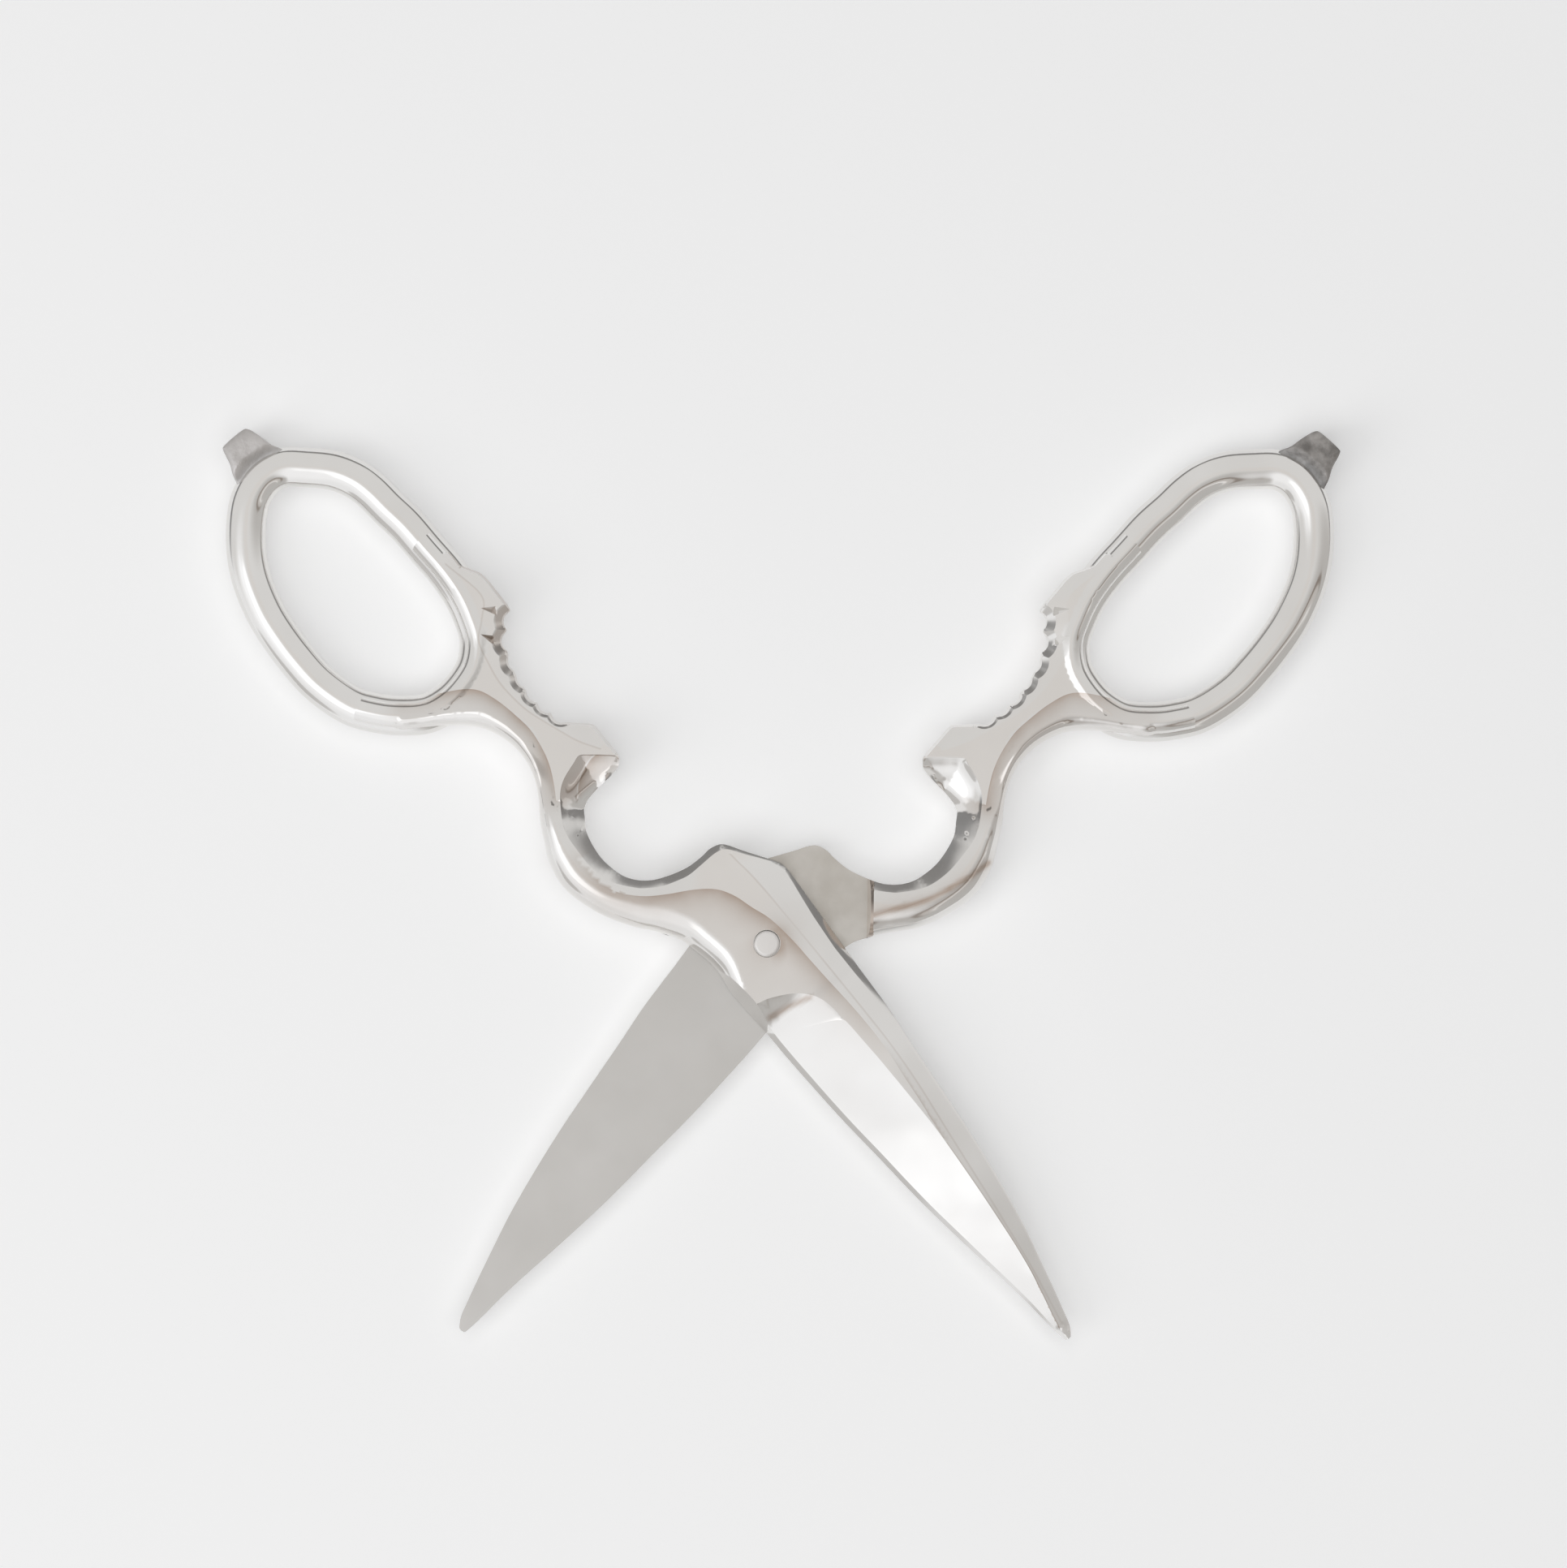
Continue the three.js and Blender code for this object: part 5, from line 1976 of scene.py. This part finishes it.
@dataclass
class PivotRivet:
    """The rivet that joins the halves.

    Attributes:
        head_radius: Radius of the head.
        head_height: Height of the head.
        proud: How far the head stands above the joint.
        bevel: Width of the head's bevel.
        shank_radius: Radius of the shank.
        peen_radius: Radius of the peened end.
        peen_height: Height of the peened end.
    """

    head_radius: float = 2.2
    head_height: float = 1.7
    proud: float = 0.35
    bevel: float = 0.4
    shank_radius: float = 1.6
    peen_radius: float = 2.5
    peen_height: float = 0.9

    def profile(self) -> Array:
        """Radius and height along the rivet's side, from its head to its foot.

        Returns:
            The points.
        """
        top = 2.0 * HALF_THICKNESS + self.proud
        seat = top - self.head_height
        rim = self.head_radius - self.bevel
        bevel = np.array([(0.0, 0.03), (0.25, 0.06), (0.6, 0.15), (0.88, 0.25), (0.98, 0.33), (1.0, 0.5)])
        bevel = np.c_[rim + self.bevel * bevel[:, 0], top - bevel[:, 1]]
        crown = [(share * rim, top - 0.03 * share**2) for share in (0.0, 0.3, 0.55, 0.75, 0.9, 0.98)]
        rest = [
            (self.head_radius, seat + 0.05), (self.head_radius - 0.05, seat),
            (self.shank_radius + 0.02, seat), (self.shank_radius, seat - 0.05),
            (self.shank_radius, self.peen_height + 0.03), (self.shank_radius + 0.03, self.peen_height),
            (self.peen_radius - 0.06, 0.08), (self.peen_radius - 0.12, 0.02), (0.6 * self.peen_radius, 0.02),
            (0.0, 0.02),
        ]
        return np.vstack([crown, bevel[1:], rest])

    def tree(self) -> Tree:
        """Makes the tree that turns the profile that goes in about the pivot.

        Returns:
            The tree.
        """
        sizes = [("Turns", "NodeSocketInt", 72), ("Axis gap", "NodeSocketFloat", 0.00002)]
        tree = Tree("turned_rivet", sizes)
        size = tree.size
        profile = tree.node("GeometryNodeMeshToCurve", {"Mesh": size["Shape"]})
        ring = {"Resolution": size["Turns"], "Radius": size["Axis gap"]}
        circle = tree.node("GeometryNodeCurvePrimitiveCircle", ring)
        upright = tree.node("GeometryNodeSetCurveNormal", {"Curve": circle}, mode="Z_UP")
        tree.close(tree.node("GeometryNodeCurveToMesh", {"Curve": upright, "Profile Curve": profile}))
        return tree

    def build(self, finish: "SteelFinish") -> bpy.types.Object:
        """Turns the rivet and dresses it.

        Args:
            finish: Finish of the steel.

        Returns:
            The rivet.
        """
        profile = self.profile()
        gap = 0.02
        flat = np.c_[profile[:, 0] - gap, -profile[:, 1], np.zeros(len(profile))] * MM
        sizes = {"Turns": 72, "Axis gap": gap * MM, "Finish": finish.material()}
        return self.tree().grown("pivot_rivet_turned", path_mesh("rivet_profile", flat, False), sizes)


class Bench(NodeSheet):
    """Puts together the nodes of one material.

    Attributes:
        material: The material.
        shader: Its shader.
        place: The object's own coordinates.
    """

    def __init__(self, name: str) -> None:
        """Starts a material of that name.

        Args:
            name: The name.
        """
        self.material = bpy.data.materials.new(name)
        self.material.use_nodes = True
        super().__init__(self.material.node_tree)
        self.shader = self.nodes["Principled BSDF"]
        self.place = self.nodes.new("ShaderNodeTexCoord").outputs["Object"]

    def noise(
        self, scale: float, detail: float = 3.0, stretch: Sequence[float] = (1, 1, 1), turn: float = 0.0
    ) -> bpy.types.Node:
        """Noise over the object's own coordinates.

        Args:
            scale: Waves in a metre.
            detail: How much finer noise is laid on top.
            stretch: Scale in x, y and z.
            turn: Turn about the upright axis, in degrees.

        Returns:
            The noise's node.
        """
        turned = {"Vector": self.place, "Rotation": (0.0, 0.0, math.radians(turn)), "Scale": tuple(stretch)}
        mapped = self.node("ShaderNodeMapping", turned)
        return self.node("ShaderNodeTexNoise", {"Vector": mapped, "Scale": scale, "Detail": detail})

    def spread(self, value: bpy.types.Node, low: float, high: float) -> bpy.types.Node:
        """Maps a noise's usual span to another."""
        span = {"Value": value, "From Min": 0.3, "From Max": 0.7, "To Min": low, "To Max": high}
        return self.node("ShaderNodeMapRange", span)

    def tint(self, share: bpy.types.Node, low: Sequence[float] | Socket, high: Sequence[float]) -> Socket:
        """Mixes two colours by a share; the low one may be a socket.

        Args:
            share: The share.
            low: Colour at 0.
            high: Colour at 1.

        Returns:
            The mixed colour.
        """
        start = low if isinstance(low, Socket) else (*low, 1.0)
        mixed = self.node("ShaderNodeMix", {"0": share, "6": start, "7": (*high, 1.0)}, data_type="RGBA")
        return mixed.outputs[2]

    def bump(
        self, height: bpy.types.Node, distance: float, strength: float = 1.0, **start: object
    ) -> bpy.types.Node:
        """A bumped normal from a height.

        Args:
            height: The height, from 0 to 1.
            distance: What the height 1 stands for, in metres.
            strength: How much of it is used.
            start: As Normal, a bumped normal to start from.

        Returns:
            The normal's node.
        """
        relief = {"Height": height, "Distance": distance, "Strength": strength}
        return self.node("ShaderNodeBump", {**relief, **start})

    def finish(self, **sockets: object) -> bpy.types.Material:
        """Sets or links the shader's sockets, named with _ for a blank, and ends the material.

        Args:
            sockets: A value, a node or a socket for each.

        Returns:
            The material.
        """
        for key, value in sockets.items():
            self.feed(self.shader.inputs[key.replace("_", " ")], value)
        return self.material


@dataclass(frozen=True)
class SteelFinish:
    """A finish of the steel.

    Attributes:
        name: Name of the finish.
        bright: Colour where the steel is bright.
        dull: Colour where it is duller or stained.
        smooth: Roughness where it is best polished.
        rough: Roughness where it is least polished.
        blotch: Blotches in a metre.
        wave: Height of the hand-polished waves, in metres.
        grain: Height of the grinding lines or of the forged grain, in metres.
        grain_scale: Grains in a metre.
        grain_stretch: How long a grinding line is for its width.
        grain_turn: Direction of the grinding lines, in degrees.
        shade_and_stain_tint: Colour of full painted shade and stain.
        shade_and_stain_amount: How much of the painted shade and stain shows.
    """

    name: str
    bright: Triple
    dull: Triple
    smooth: float
    rough: float
    blotch: float = 60.0
    wave: float = 0.0
    grain: float = 0.0
    grain_scale: float = 900.0
    grain_stretch: float = 1.0
    grain_turn: float = 0.0
    shade_and_stain_tint: Triple = (0.44, 0.35, 0.285)
    shade_and_stain_amount: float = 0.0

    def material(self) -> bpy.types.Material:
        """The finish's material, made once.

        Returns:
            The material.
        """
        kept = bpy.data.materials.get(self.name)
        if kept is not None:
            return kept
        bench = Bench(self.name)
        blotch = bench.noise(self.blotch, 4.0)
        colour = bench.tint(bench.spread(blotch, 0, 1), self.dull, self.bright)
        # The mesh's painted shade and stain darken the colour towards the tint, broken up by a cloud of
        # noise.
        if self.shade_and_stain_amount > 0.0:
            marked = bench.node("ShaderNodeAttribute", {}, attribute_name="painted_shade_and_stain").outputs["Fac"]
            cloud = bench.spread(bench.noise(170.0, 3.0), 0.7 * self.shade_and_stain_amount, self.shade_and_stain_amount)
            amount = bench.node("ShaderNodeMath", {"0": marked, "1": cloud}, operation="MULTIPLY")
            colour = bench.tint(amount, colour, self.shade_and_stain_tint)
        fine = bench.noise(self.blotch * 3.1, 5.0)
        roughness = bench.spread(fine, self.smooth, self.rough)
        normal = bench.bump(bench.noise(60.0, 1.0), max(self.wave, 1e-7))
        if self.grain > 0.0:
            stretch = (1.0, 1.0 / self.grain_stretch, 1.0)
            grain = bench.noise(self.grain_scale, 6.0, stretch, self.grain_turn)
            normal = bench.bump(grain, self.grain, Normal=normal)
        return bench.finish(Base_Color=colour, Metallic=1.0, Roughness=roughness, Normal=normal)


POLISHED_STEEL = SteelFinish(
    "polished_steel", bright=(0.83, 0.82, 0.805), dull=(0.78, 0.765, 0.745), smooth=0.07, rough=0.13,
    wave=0.00025, shade_and_stain_amount=1.0,
)
GROUND_STEEL = SteelFinish(
    "ground_steel", bright=(0.66, 0.645, 0.625), dull=(0.6, 0.585, 0.56), smooth=0.36, rough=0.46,
    blotch=45.0, grain=0.000004, grain_scale=2600.0, grain_stretch=14.0, grain_turn=52.0,
)
JOINT_STEEL = SteelFinish(
    "joint_steel", bright=(0.64, 0.615, 0.575), dull=(0.53, 0.5, 0.455), smooth=0.3, rough=0.44, blotch=150.0,
    grain=0.000004, grain_scale=2400.0, grain_stretch=8.0, grain_turn=20.0,
)
FORGED_STEEL = SteelFinish(
    "forged_steel", bright=(0.66, 0.64, 0.63), dull=(0.5, 0.48, 0.465), smooth=0.34, rough=0.55, blotch=260.0,
    wave=0.0002, grain=0.00008, grain_scale=1500.0, shade_and_stain_tint=(0.5, 0.5, 0.5), shade_and_stain_amount=0.6,
)
DARK_FORGED_STEEL = SteelFinish(
    "dark_forged_steel", bright=(0.46, 0.44, 0.425), dull=(0.2, 0.19, 0.18), smooth=0.36, rough=0.6,
    blotch=420.0, wave=0.0002, grain=0.00016, grain_scale=1300.0, shade_and_stain_tint=(0.3, 0.3, 0.3), shade_and_stain_amount=0.7,
)
RIVET_STEEL = SteelFinish(
    "rivet_steel", bright=(0.74, 0.715, 0.69), dull=(0.66, 0.635, 0.61), smooth=0.16, rough=0.26,
    blotch=260.0, grain=0.000003, grain_scale=2400.0, grain_stretch=9.0, grain_turn=20.0,
)


@dataclass(frozen=True)
class RoomPatch:
    """A soft-edged patch of the room's walls or ceiling.

    Attributes:
        toward: Direction of its middle.
        start: Cosine from its middle at which it starts.
        full: Cosine from its middle from which it is full.
        colour: Its brightness in red, green and blue.
    """

    toward: Triple
    start: float
    full: float
    colour: Triple


@dataclass
class Studio:
    """The pale table, the soft light round it and the camera above.

    Attributes:
        centre: Place on the table under the camera, in metres.
        height: Height of the camera, in metres.
        roll: Turn of the camera about its own axis, in degrees.
        lens: Focal length, in millimetres.
        table_size: Width of the table, in metres.
        walls: Brightness of the room's walls.
        patches: Patches of the room, each laid over the ones before.
    """

    centre: tuple[float, float] = (0.00233, 0.02685)
    height: float = 0.741
    roll: float = 1.0
    lens: float = 100.0
    table_size: float = 6.0
    walls: Triple = (0.785, 0.778, 0.77)
    patches: tuple[RoomPatch, ...] = (
        RoomPatch((0.6, -0.72, 0.35), 0.42, 0.7, (0.56, 0.545, 0.53)),
        RoomPatch((0.62, -0.55, 0.56), 0.866, 0.883, (0.26, 0.22, 0.19)),
        RoomPatch((0.62, -0.55, 0.56), 0.899, 0.91, (0.6, 0.57, 0.545)),
        RoomPatch((0.62, -0.55, 0.56), 0.94, 0.9455, (0.98, 0.97, 0.96)),
        RoomPatch((0.62, -0.55, 0.56), 0.954, 0.959, (0.56, 0.54, 0.525)),
        RoomPatch((0.0, 0.0, 1.0), 0.98, 0.996, (0.78, 0.757, 0.737)),
        RoomPatch((-0.413, -0.492, 0.766), 0.79, 0.91, (1.05, 1.055, 1.07)),
        RoomPatch((-0.426, -0.8, 0.423), 0.85, 0.94, (1.05, 1.055, 1.07)),
        RoomPatch((-0.54, -0.196, 0.819), 0.972, 0.992, (1.13, 1.14, 1.16)),
        RoomPatch((-0.33, -0.2, 0.92), 0.972, 0.985, (1.35, 1.36, 1.38)),
        RoomPatch((-0.262, -0.419, 0.869), 0.9985, 0.9999, (1.26, 1.27, 1.29)),
        RoomPatch((0.0, 0.0, -1.0), -0.18, -0.04, (0.5, 0.49, 0.48)),
        RoomPatch((0.8, 0.6, -1.0), 0.49, 0.56, (0.26, 0.255, 0.25)),
        RoomPatch((0.09, 1.0, -1.0), 0.49, 0.56, (0.26, 0.255, 0.25)),
        RoomPatch((-0.64, 0.77, -1.0), 0.49, 0.56, (0.26, 0.255, 0.25)),
        RoomPatch((-0.97, 0.26, -1.0), 0.49, 0.56, (0.28, 0.28, 0.28)),
        RoomPatch((0.75, -0.65, -0.1), 0.6, 0.85, (0.55, 0.54, 0.525)),
        RoomPatch((-0.64, -0.76, -0.1), 0.55, 0.8, (0.95, 0.955, 0.965)),
        RoomPatch((-0.74, -0.63, 0.22), 0.965, 0.985, (0.62, 0.61, 0.6)),
    )

    def table(self) -> None:
        """Makes the plain pale table."""
        half = self.table_size / 2
        mesh = bpy.data.meshes.new("table")
        corners = [(-half, -half, 0), (half, -half, 0), (half, half, 0), (-half, half, 0)]
        mesh.from_pydata(corners, [], [(0, 1, 2, 3)])
        table = placed("table", mesh)
        bench = Bench("table_top")
        patchy = bench.spread(bench.noise(3.0, 3.0), 0, 1)
        shade = bench.tint(patchy, (0.795, 0.796, 0.798), (0.8, 0.8, 0.8))
        normal = bench.bump(bench.noise(700.0, 4.0), 0.00002, 0.4)
        glow = {"Emission_Color": (1.0, 1.0, 1.0, 1.0), "Emission_Strength": 0.31}
        mesh.materials.append(bench.finish(Base_Color=shade, Roughness=0.9, Normal=normal, **glow))

    def surroundings(self) -> None:
        """Makes the room that the steel reflects: a bright window, duller walls and a warm ceiling."""
        world = bpy.data.worlds.new("room")
        bpy.context.scene.world = world
        world.use_nodes = True
        sheet = NodeSheet(world.node_tree)
        place = sheet.node("ShaderNodeTexCoord", {}).outputs["Generated"]
        colour = sheet.node("ShaderNodeRGB", {}).outputs["Color"]
        colour.default_value = (*self.walls, 1.0)
        for patch in self.patches:
            toward = {"0": place, "1": Vector(patch.toward).normalized()}
            facing = sheet.node("ShaderNodeVectorMath", toward, operation="DOT_PRODUCT").outputs["Value"]
            span = {"Value": facing, "From Min": patch.start, "From Max": patch.full}
            reach = sheet.node("ShaderNodeMapRange", span, interpolation_type="SMOOTHSTEP")
            layers = {"0": reach, "6": colour, "7": (*patch.colour, 1.0)}
            colour = sheet.node("ShaderNodeMix", layers, data_type="RGBA").outputs[2]
        sheet.links.new(colour, sheet.nodes["Background"].inputs["Color"])
        world.cycles_visibility.diffuse = False

    def lamp(self, name: str, place: Sequence[float], size: float, power: float) -> None:
        """Hangs a soft square lamp that looks at the scissors.

        Args:
            name: Name of the lamp.
            place: Where it hangs, in metres.
            size: Its width, in metres.
            power: Its power, in watts.
        """
        data = bpy.data.lights.new(name, "AREA")
        data.shape = "RECTANGLE"
        data.size = data.size_y = size
        data.energy = power
        lamp = placed(name, data)
        lamp.location = place
        lamp.rotation_euler = (Vector((0, 0.02, 0)) - Vector(place)).to_track_quat("-Z", "Y").to_euler()
        lamp.visible_glossy = False

    def camera(self) -> None:
        """Sets up the camera straight above the table."""
        data = bpy.data.cameras.new("camera")
        data.lens = self.lens
        data.sensor_width = 36.0
        data.clip_start = 0.01
        camera = placed("camera", data)
        camera.location = (*self.centre, self.height)
        camera.rotation_euler = (0.0, 0.0, math.radians(self.roll))
        bpy.context.scene.camera = camera

    def build(self) -> None:
        """Makes the table, the light and the camera."""
        self.table()
        self.surroundings()
        self.lamp("ceiling_light", (-0.1, -0.1, 1.6), 2.2, 21.0)
        self.lamp("window_light", (-1.5, -0.7, 1.1), 1.2, 11.0)
        self.camera()
        bpy.context.scene.view_settings.view_transform = "Standard"


# Holes for the rivet: radius and height of each corner of the wall, from the outer face.
# The first and the last corner take their heights from the faces.
HEAD_HOLE = ((2.33, 5.05), (2.3, 3.25), (1.7, 3.25), (1.7, 0.15))
PEEN_HOLE = ((2.6, 4.7), (1.7, 3.8), (1.7, 0.15))


def main() -> None:
    """Builds the scissors, the table, the light and the camera."""
    logging.basicConfig(level=logging.INFO, format="%(name)s: %(message)s")
    for thing in list(bpy.data.objects):
        bpy.data.objects.remove(thing)
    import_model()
    pitch = 0.6
    halves = [
        ForgedHalf(
            "upper", "upper_half", "upper", Side.OUTER_UP, blade_reach=DRAWN_BLADE, blade_set=0.0,
            handle_length=DRAWN_HANDLE, handle_spread=DRAWN_SPREAD, opening=38.4, holes=HEAD_HOLE,
        ),
        ForgedHalf(
            "lower", "lower_half", "lower", Side.INNER_UP, blade_reach=83.4, blade_set=0.8,
            handle_length=99.3, handle_spread=37.4, opening=-38.1, holes=PEEN_HOLE,
        ),
    ]
    pieces: list[bpy.types.Object] = []
    for half in halves:
        pieces += half.build(pitch)
    rivet = PivotRivet().build(RIVET_STEEL)
    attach(rivet, "lower")
    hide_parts("pivot_rivet")
    pieces.append(rivet)
    for piece in pieces:
        LOG.info("%s: %d faces", piece.name, len(piece.data.polygons))
    Studio().build()


if __name__ == "__main__":
    main()
